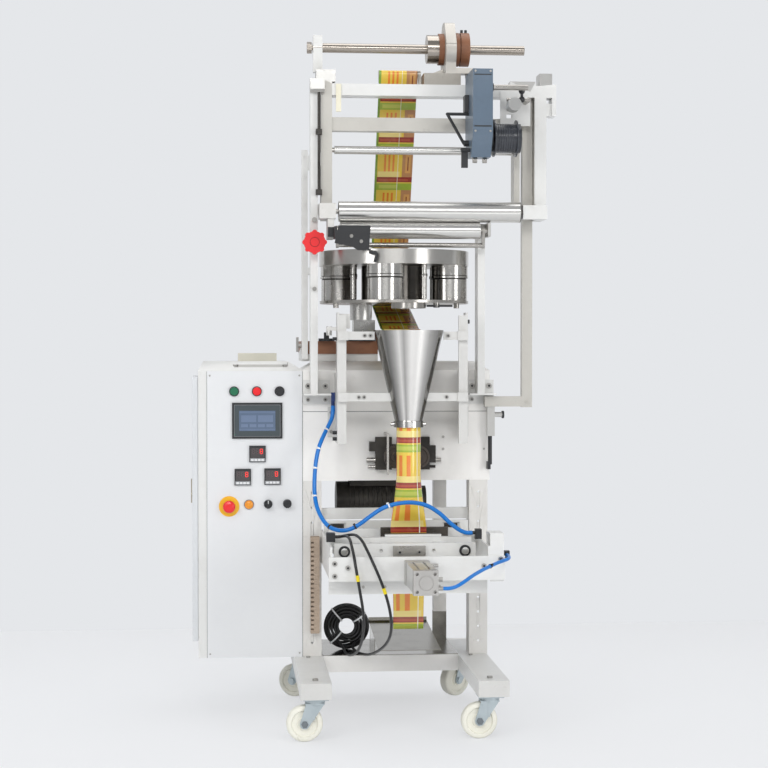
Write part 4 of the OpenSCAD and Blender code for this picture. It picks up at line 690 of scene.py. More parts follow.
def smooth_route(points: Sequence[Vector], step: float = 0.006) -> list[Vector]:
    """Lays a smooth curve through points.

    Args:
        points: the points, in metres.
        step: rough distance between the points that come back.

    Returns:
        The dense route, through every given point.
    """
    out: list[Vector] = []
    last = len(points) - 1
    for i in range(last):
        p0, p1, p2 = points[max(0, i - 1)], points[i], points[i + 1]
        p3 = points[min(last, i + 2)]
        count = max(2, round((p2 - p1).length / step))
        for k in range(count):
            t = k / count
            out.append(0.5 * ((2 * p1) + (p2 - p0) * t + (2 * p0 - 5 * p1 + 4 * p2 - p3) * t * t
                              + (3 * p1 - p0 - 3 * p2 + p3) * t ** 3))
    out.append(points[-1].copy())
    return out


def route_length(route: Sequence[Vector]) -> float:
    """Adds up the lengths of a route's steps."""
    return sum((b - a).length for a, b in zip(route, route[1:]))


def cord_curve(name: str, route: Sequence[Vector], diameter: float,
               finish: Finish) -> bpy.types.Object:
    """Makes a round cord along a route.

    Args:
        name: the piece's name.
        route: its centreline, in metres.
        diameter: its diameter in metres.
        finish: its finish.

    Returns:
        The curve object.
    """
    curve = bpy.data.curves.new(name, "CURVE")
    curve.dimensions = "3D"
    curve.bevel_depth = diameter / 2
    curve.bevel_resolution = 4
    curve.use_fill_caps = True
    spline = curve.splines.new("POLY")
    spline.points.add(len(route) - 1)
    for point, p in zip(spline.points, route):
        point.co = (p.x, p.y, p.z, 1.0)
    spline.use_smooth = True
    obj = bpy.data.objects.new(name, curve)
    bpy.context.scene.collection.objects.link(obj)
    curve.materials.append(KIT.of(finish))
    return obj


def band(name: str, route: Sequence[Vector], share: float, radius: float, width: float,
         wall: float, head: bool = False) -> bpy.types.Object:
    """Makes a band that goes round a cord, such as a tie or a sleeve.

    Args:
        name: the piece's name.
        route: the cord's centreline.
        share: where the band sits, from 0 at the start to 1 at the end.
        radius: inner radius of the band in metres.
        width: its width along the cord.
        wall: its thickness.
        head: whether a tie's head stands on it.

    Returns:
        The band.
    """
    k = min(len(route) - 2, max(1, round(share * (len(route) - 1))))
    spot = route[k]
    along = (route[k + 1] - route[k - 1]).normalized()
    side = along.orthogonal().normalized()
    up = along.cross(side)
    steps = 24
    outer, rim = radius + wall, radius + wall * 0.8
    bm = bmesh.new()
    rings = []
    for u, r in ((-0.5, radius), (-0.5, rim), (-0.3, outer), (0.3, outer), (0.5, rim),
                 (0.5, radius)):
        ring = []
        for j in range(steps):
            a = 2 * math.pi * j / steps
            out = side * math.cos(a) + up * math.sin(a)
            ring.append(bm.verts.new(spot + along * (u * width) + out * r))
        rings.append(ring)
    for a, b in zip(rings, rings[1:] + rings[:1]):
        for j in range(steps):
            bm.faces.new((a[j], a[(j + 1) % steps], b[(j + 1) % steps], b[j]))
    if head:
        deep, wide, long, lift = 0.0045, 0.0050, width * 1.4, 0.0012
        turn = Matrix((side, up, along)).transposed()
        for v in bmesh.ops.create_cube(bm, size=1.0)["verts"]:
            q = Vector((v.co.x * deep, v.co.y * wide, v.co.z * long))
            v.co = spot + turn @ (q + Vector((outer + lift, 0, 0)))
    return mesh_piece(name, bm)


# The cords' middle lines, point for point as in the part's source, in inner millimetres.
HOSE_LEFT: tuple[Point, ...] = (
    (-213, -45, 906), (-213, -45, 890), (-217, -51, 868), (-228, -64, 846), (-242, -78, 820),
    (-256, -92, 788), (-265, -104, 750), (-270, -115, 705), (-271, -128, 660), (-266, -150, 622),
    (-254, -178, 592), (-236, -204, 570), (-211, -224, 560), (-182, -238, 562), (-152, -243, 577),
    (-120, -241, 600), (-84, -236, 622), (-44, -231, 634), (0, -229, 637), (42, -230, 628),
    (78, -233, 606), (106, -236, 580), (132, -238, 560), (153, -239, 551), (170, -239, 551))
HOSE_RIGHT: tuple[Point, ...] = (
    (36, -654, 450), (52, -654, 450), (68, -650, 453), (84, -640, 459), (102, -622, 467),
    (122, -596, 475), (143, -566, 481), (164, -537, 486), (184, -510, 490), (204, -484, 494),
    (223, -462, 497), (239, -441, 499), (246, -420, 500), (249, -401, 501), (249, -384, 502),
    (249, -368, 502))
CABLE_DOWN: tuple[Point, ...] = (
    (-222, -284, 547), (-210, -284, 547), (-198, -298, 551), (-190, -334, 553), (-186, -372, 547),
    (-184, -404, 534), (-181, -430, 516), (-177, -446, 488), (-171, -450, 452), (-164, -443, 412),
    (-156, -424, 370), (-150, -392, 328), (-148, -346, 288), (-149, -286, 250), (-153, -216, 217),
    (-158, -146, 195), (-163, -80, 181), (-168, -28, 173.5), (-172, 16, 171.4), (-175, 54, 175))
CABLE_BACK: tuple[Point, ...] = (
    (-222, -270, 547), (-206, -270, 547), (-187, -283, 552), (-172, -312, 556), (-163, -350, 555),
    (-154, -392, 546), (-144, -426, 526), (-131, -448, 497), (-115, -457, 460), (-99, -454, 418),
    (-85, -438, 372), (-76, -408, 326), (-74, -362, 285), (-80, -302, 250), (-91, -234, 222),
    (-102, -162, 200), (-111, -94, 184), (-121, -34, 174.5), (-134, 14, 171.4), (-145, 54, 175))


@dataclass
class CordSet:
    """The two air hoses and the sealing cable with its tied coil."""

    hose_left_d: float = 0.012
    hose_right_d: float = 0.010
    cable_d: float = 0.008
    coil_mid: Point = (-163.0, 110.0, 236.2)
    coil_r: float = 46.0
    slot_r: float = 19.0
    slots: int = 12
    turn_start: float = -132.0
    step_over: float = 84.0
    tie_w: float = 0.0045
    tie_wall: float = 0.0011
    gap: float = 0.0001
    sleeve_w: float = 0.017
    sleeve_wall: float = 0.0009
    sleeves: tuple[tuple[str, Point], ...] = (
        ("sleeve_a", (-171, -450, 452)), ("sleeve_b", (-99, -454, 418)))

    def build(self) -> None:
        """Makes the cords first, because their solids may have to move."""
        self._hose("hose_left", HOSE_LEFT, self.hose_left_d,
                   ((0.10, TIE_WHITE), (0.17, TIE_WHITE), (0.24, TIE_WHITE), (0.335, TIE_WHITE),
                    (0.47, CABLE), (0.565, CABLE), (0.70, TIE_WHITE)))
        self._hose("hose_right", HOSE_RIGHT, self.hose_right_d, ((0.55, CABLE),))
        self._cable()

    def _hose(self, node: str, points: Sequence[Point], diameter: float,
              ties: Iterable[tuple[float, Finish]]) -> None:
        """Makes one air hose with the ties round it.

        Args:
            node: the CAD solid that it takes the place of.
            points: its middle line.
            diameter: its diameter in metres.
            ties: where each tie sits, as a share of the length, and its finish.
        """
        route = smooth_route([at(*p) for p in points])
        hose = cord_curve(node + "_tube", route, diameter, HOSE)
        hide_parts(node)
        own(hose, "frame")
        for count, (share, finish) in enumerate(ties, start=1):
            tie = band(f"{node}_tie_{count}", route, share, diameter / 2 + self.gap, self.tie_w,
                       self.tie_wall, head=True)
            own(tie, "frame", finish)
        tuple(route[0])
        route_length(route)
        LOG.info("%s is %.3f m long", node, route_length(route))

    def _coil(self) -> list[Vector]:
        """Winds the coil: each turn moves on by one place round the bundle's section.

        Returns:
            The coil's points, in metres.
        """
        points = []
        start, zone = self.turn_start, self.step_over
        total = self.slots * 360.0 - zone
        steps = int(total / 10)
        for k in range(steps + 1):
            theta = start - total * k / steps
            passed = (start - theta) / 360.0
            turn = int(passed)
            inside = (passed - turn) * 360.0 - (360.0 - zone)
            shift = turn + (0.0 if inside <= 0 else 0.5 - 0.5 * math.cos(math.pi * inside / zone))
            place = math.radians(shift * 360.0 / self.slots)
            points.append(self._round_coil(math.radians(theta), -self.slot_r * math.sin(place),
                                           -self.slot_r * math.cos(place)))
        return points

    def _round_coil(self, a: float, out: float = 0.0, depth: float = 0.0) -> Vector:
        """Gives a point beside the coil's middle ring.

        Args:
            a: its angle round the ring, in radians.
            out: how far outside the ring it lies, in millimetres.
            depth: how far behind it, in millimetres.

        Returns:
            The point, in metres.
        """
        x, y, z = self.coil_mid
        radial = self.coil_r + out
        return at(x + radial * math.cos(a), y + depth, z + radial * math.sin(a))

    def _cable(self) -> None:
        """Makes the sealing cable: down from its clamp, round the coil and back."""
        down = [at(*p) for p in CABLE_DOWN] + [at(-177, 69, 180), at(-184, 81, 188.5)]
        back = [at(*p) for p in reversed(CABLE_BACK)]
        lead = [at(-142, 81, 188.5), at(-147, 69, 180)]
        route = smooth_route(down + self._coil() + lead + back, 0.007)
        cable = cord_curve("sealing_cable", route, self.cable_d, CABLE)
        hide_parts("cable_a", "cable_b", "cable_coil")
        own(cable, "frame")
        ring = [self._round_coil(math.radians(5 * k)) for k in range(73)]
        for count, share in enumerate((0.10, 0.36, 0.62), start=1):
            tie = band(f"coil_tie_{count}", ring, share, (self.slot_r + 4.3) * MM, self.tie_w,
                       self.tie_wall, head=True)
            own(tie, "frame", TIE_WHITE)
        for name, place in self.sleeves:
            spot = at(*place)
            near = min(range(len(route)), key=lambda i: (route[i] - spot).length)
            sleeve = band(name, route, near / (len(route) - 1), self.cable_d / 2 + self.gap,
                          self.sleeve_w, self.sleeve_wall)
            own(sleeve, "frame", SLEEVE)
        tuple(route[0])
        route_length(route)
        LOG.info("the sealing cable is %.3f m long", route_length(route))


@dataclass
class Base:
    """Legs, crossbars, tray, casters and the folded posts."""

    wheel_y: float = -388.0
    fork_half: float = 22.05
    nut_deep: float = 9.0
    nut_z: Span = (38.0, 62.0)
    reach: float = 999.0
    regions: Patches = (
        # Painted light: the crossbars, shaded by the tray and the jaws, take the lighter copy of
        # the paint.
        Patch("crossbars", PAINT_WITH_PAINTED_LIGHT, (-239.9, -0.1, 100), (161.9, 300, 165.1)),
        # Painted shade: the legs' end caps take the darker copy of the paint.
        Patch("end caps of the legs", PAINT_WITH_PAINTED_SHADE, (-500, -441, 119.96), (500, -431.5, 165.04)),
        Patch("caster plates", ZINC, (-500, -600, 60), (500, 500, 119.95)),
        Patch("screws on the legs", SCREW, (-500, -600, 165.05), (500, 500, 180)))

    def _nuts(self, corner: str) -> Patches:
        """Gives the axle nuts of a fork.

        Args:
            corner: the fork's corner.

        Returns:
            Its two nuts, or none at the rear, where the forks don't stand square.
        """
        if corner[0] != "f":
            return ()
        front, back = self.wheel_y - self.fork_half, self.wheel_y + self.fork_half
        return tuple(Patch("axle nut", NUT, (-self.reach, y0, self.nut_z[0]),
                           (self.reach, y1, self.nut_z[1]))
                     for y0, y1 in ((front - self.nut_deep, front), (back, back + self.nut_deep)))

    def build(self) -> None:
        """Gives the base its finishes."""
        dress("base_frame", PAINT, self.regions)
        dress("base_tray", TRAY, edge=Edge.FINE)
        dress("posts", POST)
        for corner in ("fl", "fr", "rl", "rr"):
            dress(f"fork_{corner}", ZINC, self._nuts(corner), Edge.THIN)
            dress(f"wheel_{corner}", WHEEL, edge=Edge.SHARP)
        dress("wire_duct", DUCT, edge=Edge.SHARP)


@dataclass
class Body:
    """The body box over the posts with its hanging motor."""

    fins: int = 13
    fin_pitch: float = 14.0
    first_fin: Point = (-150, 190, 612)
    fin_shape: tuple[Span, ...] = ((54.0, 0.0), (58.0, 0.4), (58.0, 2.6), (54.0, 3.0))
    seam: tuple[Point, Point] = ((-298.7, -0.15, 886.1), (254.7, 0.75, 887.4))
    regions: Patches = (
        Patch("motor and gearbox", SOOT, (-400, -10, 500), (300, 400, 682.9)),
        Patch("screws beside the wheels", SCREW, (105, -3, 765), (125, -0.05, 820)),
        Patch("screw at the right", SCREW, (234, -3, 770), (242, -0.05, 780)),
        Patch("screw on top", SCREW, (240, 24, 1008.2), (252, 36, 1014)))

    def build(self) -> None:
        """Gives the body its finishes and the motor its fins."""
        # Painted light: the body front lies in shade, so its paint is the lighter copy.
        dress("machine_body", PAINT_WITH_PAINTED_LIGHT, self.regions)
        x, y, z = self.first_fin
        with piece("motor_fins", "frame", "dark", SOOT) as bm:
            for k in range(self.fins):
                add_lathe(bm, (x + k * self.fin_pitch, y, z), Axis.X, self.fin_shape, 48)
        with piece("body_seam", "frame", "dark", SEAM_AND_SHADE) as bm:
            add_block(bm, *self.seam, 0.0)


@dataclass
class OperatorPanel:
    """The screen, the controllers and the switches on the cabinet's front."""

    face_y: float = -3.0
    hmi: tuple[float, float, float, float] = (-506.0, 808.5, 147.0, 105.0)
    rim: float = 6.0
    screen_side: float = 20.4
    screen_low: float = 22.4
    screen_high: float = 23.4
    tile_pitch: float = 24.6
    units: tuple[Span, ...] = ((-456.0, 739.5), (-499.0, 672.0), (-412.0, 673.0))
    digit_w: float = 8.5
    digit_h: float = 15.0
    digits_dim: tuple[float, ...] = (8.0, 19.5)
    digits_lit: tuple[float, ...] = (31.0,)
    lamp: Span = (-457.0, 615.0)
    lens: tuple[Span, ...] = ((10.5, 0.0), (10.5, -1.0), (9.2, -2.6), (6.4, -3.8), (2.6, -4.4))
    ring: tuple[Span, ...] = ((14.6, 0.0), (14.6, -2.0), (13.4, -3.0), (12.6, -3.0))
    screw: tuple[Span, ...] = ((2.8, 0.0), (2.8, -0.7), (1.9, -1.0), (1.0, -1.0))
    screws_x: Span = (-571.0, -309.0)
    screws_z: Span = (176.0, 993.0)
    keys: Patches = (Patch("white keys", PANEL, (-520, -12, 660), (-350, -10.05, 760)),)
    collars: Patches = (
        Patch("signal lamp", ORANGE, (-470.5, -12, 601), (-443.5, -2, 629)),
        Patch("collars of the push buttons", BLACK, (-520, -12, 928), (-345, 0, 966)))
    stop: Patches = (Patch("the stop's collar", COLLAR, (-540, -20, 590), (-490, -5.05, 630)),)

    def _screen_edge(self) -> Patches:
        """Gives the screen unit's black rim and the thin line inside it.

        Returns:
            The line first, then the rim's four sides.
        """
        x0, z0, w, h = self.hmi
        x1, z1, rim = x0 + w, z0 + h, self.rim
        line = Patch("thin line", LABEL, (x0 + rim - 0.1, -8.6, z0 + rim - 0.1),
                     (x1 - rim + 0.1, -8.4, z1 - rim + 0.1))
        sides = ((x0 - 1, x0 + rim, z0 - 1, z1 + 1), (x1 - rim, x1 + 1, z0 - 1, z1 + 1),
                 (x0 - 1, x1 + 1, z0 - 1, z0 + rim), (x0 - 1, x1 + 1, z1 - rim, z1 + 1))
        return (line, *(Patch("black rim", BLACK, (xa, -10, za), (xb, 1, zb))
                        for xa, xb, za, zb in sides))

    def build(self) -> None:
        """Dresses the panel's nodes and adds what lies in their windows."""
        dress("cabinet_front", PANEL, edge=Edge.THIN)
        dress("hmi_unit", BEZEL, self._screen_edge(), Edge.SHARP)
        dress("controllers", BLACK, self.keys, Edge.SLIM)
        dress("panel_collars", COLLAR, self.collars)
        dress("estop_plate", YELLOW, self.stop, Edge.THIN)
        for node, finish in (("button_green", GREEN), ("button_red", RED), ("button_black", BLACK)):
            dress(node, finish, edge=Edge.THIN)
        for node, finish in (("estop_head", RED), ("selector_knob", BLACK), ("key_knob", BLACK)):
            dress(node, finish)
        self._screen()
        self._displays()
        self._fittings()

    def _screen(self) -> None:
        """Makes the screen with its plain generic picture."""
        x0, z0, w, h = self.hmi
        left, right = x0 + self.screen_side, x0 + w - self.screen_side
        low, high = z0 + self.screen_low, z0 + h - self.screen_high
        y1, y0 = self.face_y - 5.0, self.face_y - 5.5
        with piece("screen_glass", "frame", "dark", SCREEN) as bm:
            add_block(bm, (left, y0, low), (right, y1, high), 0.0)
        with piece("screen_bars", "frame", "dark", SCREEN_BAR) as bm:
            for z in ((high - 7, high - 1), (low + 1, low + 6)):
                add_block(bm, (left + 1, y0 - 0.12, z[0]), (right - 1, y0, z[1]), 0.0)
        with piece("screen_tiles", "frame", "dark", SCREEN_TILE) as bm:
            for k in range(4):
                x = left + 6 + k * self.tile_pitch
                add_block(bm, (x, y0 - 0.16, low + 11), (x + 20, y0, low + 20), 0.3)
                if k < 2:
                    x = left + 6 + k * 2 * self.tile_pitch
                    add_block(bm, (x, y0 - 0.16, low + 26), (x + 44, y0, low + 46), 0.3)
        with piece("screen_lamp", "frame", "green", GREEN) as bm:
            add_lathe(bm, (x0 + 8.5, self.face_y - 6.0, z0 + 12), Axis.Y,
                      ((1.6, 0.0), (1.6, -0.25), (0.6, -0.5)), 20)

    def _digit(self, bm: bmesh.types.BMesh, x: float, z: float, y: float) -> None:
        """Adds a seven-bar figure eight.

        Args:
            bm: the shape.
            x: left edge.
            z: lower edge.
            y: the face it stands on.
        """
        w, h = self.digit_w, self.digit_h
        t = w * 0.17
        for row in (0.0, 0.5, 1.0):
            zz = z + row * (h - t)
            add_block(bm, (x + t, y - 0.12, zz), (x + w - t, y, zz + t), 0.0)
        for side in (x, x + w - t):
            for row in (0.0, 0.5):
                zz = z + t * 0.8 + row * (h - t)
                add_block(bm, (side, y - 0.12, zz), (side + t, y, zz + (h - t) * 0.5 - t * 0.7),
                          0.0)

    def _displays(self) -> None:
        """Makes the controllers' windows with their unlit and lit digits."""
        y = self.face_y - 6.0
        with piece("display_glass", "frame", "dark", WINDOW) as bm:
            for x0, z0 in self.units:
                add_block(bm, (x0 + 3.3, y - 0.5, z0 + 12.3), (x0 + 44.7, y, z0 + 42.7), 0.0)
        for name, finish, digits in (("display_unlit", DIGIT_OFF, self.digits_dim),
                                     ("display_lit", DIGIT_ON, self.digits_lit)):
            with piece(name, "frame", "dark", finish) as bm:
                for x0, z0 in self.units:
                    for x in digits:
                        self._digit(bm, x0 + x, z0 + 24, y - 0.5)
        with piece("display_strip", "frame", "dark", LABEL) as bm:
            for x0, z0 in self.units:
                add_block(bm, (x0 + 2, y - 1.2, z0 + 2), (x0 + 46, y - 0.9, z0 + 11.4), 0.0)

    def _fittings(self) -> None:
        """Makes the lamp's lens and ring, the selector's mark, the panel's screws and the painted
        shadows in the gaps beside the panel.
        """
        x, z = self.lamp
        with piece("lamp_lens", "frame", "yellow", ORANGE) as bm:
            add_lathe(bm, (x, self.face_y - 7.0, z), Axis.Y, self.lens, 40)
        with piece("lamp_ring", "frame", "steel", COLLAR) as bm:
            add_lathe(bm, (x, self.face_y, z), Axis.Y, self.ring, 48)
        with piece("selector_mark", "selector", "paint", PANEL) as bm:
            add_block(bm, (-401.9, self.face_y - 20.25, 618.0),
                      (-400.1, self.face_y - 19.95, 627.0), 0.0)
        with piece("panel_screws", "frame", "steel", SCREW) as bm:
            for x in self.screws_x:
                for z in self.screws_z:
                    add_lathe(bm, (x, self.face_y + 1.0, z), Axis.Y, self.screw, 24)
        # Painted shadow: thin dark strips in the gaps at both sides of the panel.
        with piece("panel_gap_shadows", "frame", "dark", SEAM_AND_SHADE) as bm:
            add_block(bm, (-579.9, -0.25, 165), (-579.05, 0.0, 1005), 0.0)
            add_block(bm, (-300.4, -0.25, 165), (-299.35, 0.0, 1005), 0.0)


@dataclass
class Cabinet:
    """The control cabinet's box, door and latch."""

    regions: Patches = (
        Patch("box on top", BEIGE, (-488, 149, 1034.05), (-370, 211, 1060)),
        Patch("modules", MODULE, (-530, 217.9, 350), (-360, 278, 800)),
        Patch("rails", STEEL, (-540, 277.9, 370), (-335, 286, 780)),
        Patch("mounting plate", ZINC, (-546, 285.9, 255), (-325, 298.05, 965)),
        Patch("hinge pins", SCREW, (-620, 285, 295), (-605.05, 300, 925)),
        Patch("screws on top", SCREW, (-505, 12, 1017), (-340, 32, 1050)))

    def build(self) -> None:
        """Gives the cabinet its finishes, also inside."""
        dress("cabinet_shell", PAINT, self.regions)
        dress("side_door", DOOR)
        dress("door_latch", LATCH, edge=Edge.SOFT)


@dataclass
class UpperFrame:
    """Uprights, beams, rollers and the sensors on them."""

    star_y: float = -112
    end_ring_at: Point = (326.0, -104, 1467)
    end_ring: tuple[Span, ...] = ((29.0, -0.2), (29.6, 0.2), (29.6, 1.6), (15.0, 1.9))
    feet_x: tuple[float, ...] = (-284, -233, 201, 252)
    feet_z: Span = (962, 922)
    upright_regions: Patches = (
        Patch("fitting of the left hose", FITTING, (-218.95, -55, 905), (-207, -35, 945)),
        Patch("locking rod", SOOT, (-265, -90, 1514), (-245, -65.05, 1813)),
        Patch("clamp screws", SCREW, (-277, -79, 1235), (-259, -65.05, 1456)))
    beam_regions: Patches = (
        Patch("left corner block", ALU, (-263, -66, 1844.95), (-205, -4, 1881)),
        Patch("wedge block", ALU, (-282, -92, 1811), (-238, -65.05, 1851)),
        Patch("right corner block", ALU, (391, -66, 1840.05), (428.9, -4, 1877)),
        Patch("low block on the beam", ALU, (304, -66, 1840.05), (381, -24, 1853)),
        Patch("left carrier of the rollers", ALU, (-257, -129, 1444), (-208, -65.05, 1490)),
        Patch("lower arm of the carrier", ALU, (-233, -125, 1387), (-213, -44, 1444.9)),
        Patch("right carrier", ALU, (230, -121, 1395), (241, -4, 1437)),
        Patch("knob of the sensor", BLACK, (287.95, -34, 864), (295, -10, 890)),
        Patch("stem of the sensor", BLACK, (246, -29, 729), (260, -15, 813.9)),
        Patch("sleeve into the body", BLACK, (244.9, -31, 715), (254.1, 0, 739)),
        Patch("block of the sensor", ALU, (243, -31, 813), (288.1, -13, 900.9)),
        Patch("cream plate", CREAM, (-206, -71, 1757), (-189, -65.05, 1839)),
        Patch("spindle of the big roller", STEEL, (-215, -112, 1459), (333.9, -96, 1475)),
        Patch("spindle of the second", STEEL, (-213.9, -112, 1405), (231.9, -96, 1421)),
        Patch("spindle of the idler", STEEL, (-215.9, -48, 1642), (316.9, -32, 1658)),
        Patch("left channel", FRAME, (-249, -66, 1444), (-215.9, -4, 1846)),
        Patch("second beam", FRAME, (-216.1, -61, 1703), (317.1, -19, 1743.1)),
        Patch("right channel", FRAME, (316.9, -66, 1484), (377, -4, 1798)),
        Patch("tall post", FRAME, (345.9, -41, 898), (377.1, -5, 1799)),
        Patch("arm of the tall post", FRAME, (235, -41, 900.5), (346.1, -5, 931.5)))
    sensor: Patches = (Patch("bracket screws", SCREW, (-175, -182, 1370), (-130, -176.05, 1399)),)

    def _feet_screws(self) -> Patches:
        """Gives the screws of the uprights' feet with painted shade in their hex recesses.

        Returns:
            The painted shade in the recesses first, then the heads round them.
        """
        high, low = self.feet_z
        socket_shades = painted_socket_shades([(x, -6, high, 8, 5) for x in self.feet_x]
                        + [(x, -6, low, 6, 3) for x in self.feet_x[:3]] + [(361, -36, 914, 6, 3)])
        return socket_shades + tuple(Patch("foot screw", SCREW, (x - 9, -12, z - 9), (x + 9, -6.05, z + 9))
                             for x in self.feet_x for z in self.feet_z)

    def build(self) -> None:
        """Gives the upper frame its finishes."""
        dress("uprights", PAINT, self._feet_screws() + self.upright_regions)
        dress("beams", PAINT, self.beam_regions)
        dress("big_roller", ROLLER, edge=Edge.SOFT)
        dress("second_roller", ROLLER, edge=Edge.SOFT)
        dress("idler_rod", ROLLER, edge=Edge.THIN)
        dress("dancer", STEEL, edge=Edge.THIN)
        dress("sensor_bracket", BLACK, self.sensor, Edge.THIN)
        groove = Patch("groove", STAR_RING, (-283.5, self.star_y + 0.1, 1363.5),
                       (-254.5, self.star_y + 1.6, 1392.5))
        dress("star_knob", STAR, (groove,))
        with piece("roller_end_ring", "roller_big", "dark", SOOT) as bm:
            add_lathe(bm, self.end_ring_at, Axis.X, self.end_ring, 64)


@dataclass
class Reel:
    """The film reel's shaft, its brown chucks and their supports."""

    supports: Patches = (
        Patch("left support", PAINT, (-269, -15, 1879), (-240, 15, 1988)),
        Patch("foot of the plate", FOOT, (50, -63, 1839), (210, 45, 1876)))
    chucks: Patches = (
        Patch("brown chucks", BROWN, (99.95, -60, 1890), (190.1, 60, 2003)),
        Patch("chuck screws", BLACK, (165, -5, 2000), (190, 5, 2015)))

    def build(self) -> None:
        """Gives the reel shaft and its supports their finishes."""
        dress("reel_supports", PLATE, self.supports, Edge.ROUND)
        dress("reel_shaft", SHAFT, self.chucks, Edge.SOFT)


@dataclass
class Printer:
    """The date printer on the right of the first beam."""

    front_y: float = -225.0
    knob_at: Span = (299.0, 1770.0)
    knob_y: Span = (-183.0, -147.0)
    knob_r: float = 19.15
    grips: int = 48
    grip_half: float = 0.35
    trim_x: Span = (177.0, 226.0)
    trims_z: tuple[Span, ...] = ((1700, 1704), (1846, 1849))
    screws_at: tuple[Span, ...] = ((180, 1857), (223, 1857), (180, 1688), (223, 1688))
    screw: tuple[Span, ...] = ((3.2, 0.1), (3.2, -1.2), (2.4, -1.9), (1.2, -1.9))
    regions: Patches = (
        Patch("small rollers below", STEEL, (180, -173, 1602), (222, -153, 1617.9)),
        Patch("upper rod", STEEL, (240.05, -174, 1811.5), (341, -156, 1829)),
        Patch("lower rod", STEEL, (283, -136, 1784), (353, -124, 1796)),
        Patch("stub on the slotted plate", STEEL, (340, -134, 1782), (356, -68, 1798)),
        Patch("case", PRINTER, (172.9, -225.1, 1617.5), (230.1, -64.9, 1864.2)))

    def build(self) -> None:
        """Gives the printer its finishes and its small pieces."""
        dress("printer_box", BLACK, self.regions, Edge.ROUND)
        dress("ribbon_spool", SPOOL, edge=Edge.THIN)
        dress("printer_knob", KNOB, edge=Edge.SOFT)
        half = self.grip_half
        with piece("knob_grip", "print_knob", "steel", KNOB) as bm:
            for k in range(self.grips):
                a = 2 * math.pi * k / self.grips
                x = self.knob_at[0] + self.knob_r * math.cos(a)
                z = self.knob_at[1] + self.knob_r * math.sin(a)
                add_block(bm, (x - half, self.knob_y[0], z - half),
                          (x + half, self.knob_y[1], z + half), 0.0)
        with piece("printer_trim", "frame", "printer", SEAM_AND_SHADE) as bm:
            for z0, z1 in self.trims_z:
                add_block(bm, (self.trim_x[0], self.front_y - 0.5, z0),
                          (self.trim_x[1], self.front_y + 0.1, z1), 0.1)
        with piece("printer_screws", "frame", "steel", SCREW) as bm:
            for x, z in self.screws_at:
                add_lathe(bm, (x, self.front_y, z), Axis.Y, self.screw, 20)


@dataclass
class DosingHead:
    """The turning cups between the pan and the fixed plate, and the drive under them."""

    reach: float = 300.0
    groove_rows: tuple[Span, ...] = ((1274.9, 1279.1), (1284.9, 1287.1))
    hub_at: Point = (-27, 35, 1213.5)
    hub: tuple[Span, ...] = ((40.0, 0.0), (96.0, 0.0), (96.0, 101.0), (40.0, 101.0))
    plate: Patches = (Patch("bar under the plate", BLACK, (51, -145, 1189), (127, -125, 1199)),)
    drive: Patches = (
        Patch("foot of the drive", BLACK, (-260, -20, 1093), (-60, 200, 1115.95)),
        Patch("stub beside it", BLACK, (-260, -20, 1093), (-190, 200, 1121)))
    base: Patches = (
        Patch("support", PAINT, (-299.5, 89, 1033), (-69, 281, 1055.95)),
        Patch("clamp at the end", SCREW, (-315, 89, 1061), (-299.05, 117, 1107)))

    def build(self) -> None:
        """Gives the dosing head its finishes."""
        dress("dosing_pan", PAN, edge=Edge.SHARP)
        # Painted shade: the cups' groove walls are coloured dark for the grooves' shadow.
        groove_shades = tuple(Patch("groove", GROOVE_PAINTED_SHADE, (-self.reach, -self.reach, low),
                              (self.reach, self.reach, high)) for low, high in self.groove_rows)
        dress("dosing_cups", CUPS, groove_shades, Edge.SHARP)
        dress("dosing_plate", STEEL, self.plate, Edge.SOFT)
        dress("dosing_drive", STEEL_Z, self.drive, Edge.SOFT)
        with piece("cup_hub", "turntable", "steel", HUB) as bm:
            add_lathe(bm, self.hub_at, Axis.Z, self.hub, 96)
        dress("brown_base", BROWN, self.base, Edge.ROUND)


@dataclass
class FunnelUnit:
    """The funnel, its forming tube and the flat bars that carry it."""

    bar_y: float = -148.0
    upper_screws_x: tuple[float, ...] = (-128, -112, 112)
    lower_screws_x: tuple[float, ...] = (-145, -130, 108)
    tube: Patches = (Patch("forming tube", STEEL_Z, (-40, -170, 699), (40, -90, 845.9)),)
    regions: Patches = (
        Patch("left studs", BLACK, (-219, -118, 805), (-206.05, -106, 1106)),
        Patch("right stud", BLACK, (171.05, -119, 1143), (180, -105, 1157)),
        Patch("air fitting", ALU, (-237, -125, 1109), (-206.05, -90, 1137)),
        Patch("block of the fitting", ALU, (-199.95, -123.95, 1129), (-167, -91, 1173)),
        Patch("screws of the bars", SCREW, (-150, -153, 920), (120, -148.05, 1125)),
        Patch("screws on the left post", SCREW, (-232, -9, 820), (-206, -4.05, 892)),
        Patch("screws on the right post", SCREW, (172, -9, 820), (192, -4.05, 892)))

    def build(self) -> None:
        """Gives the funnel and its brackets their finishes."""
        dress("funnel", BRIGHT, self.tube, Edge.SHARP)
        # Painted shade in the hex recesses of the bars' screws.
        socket_shades = painted_socket_shades([(x, self.bar_y, z, 5.5, 3)
                         for row, z in ((self.upper_screws_x, 1109), (self.lower_screws_x, 933))
                         for x in row])
        # Painted shade: the funnel's bars take the darker copy of the white paint.
        dress("funnel_brackets", PAINT_WITH_PAINTED_SHADE, socket_shades + self.regions)


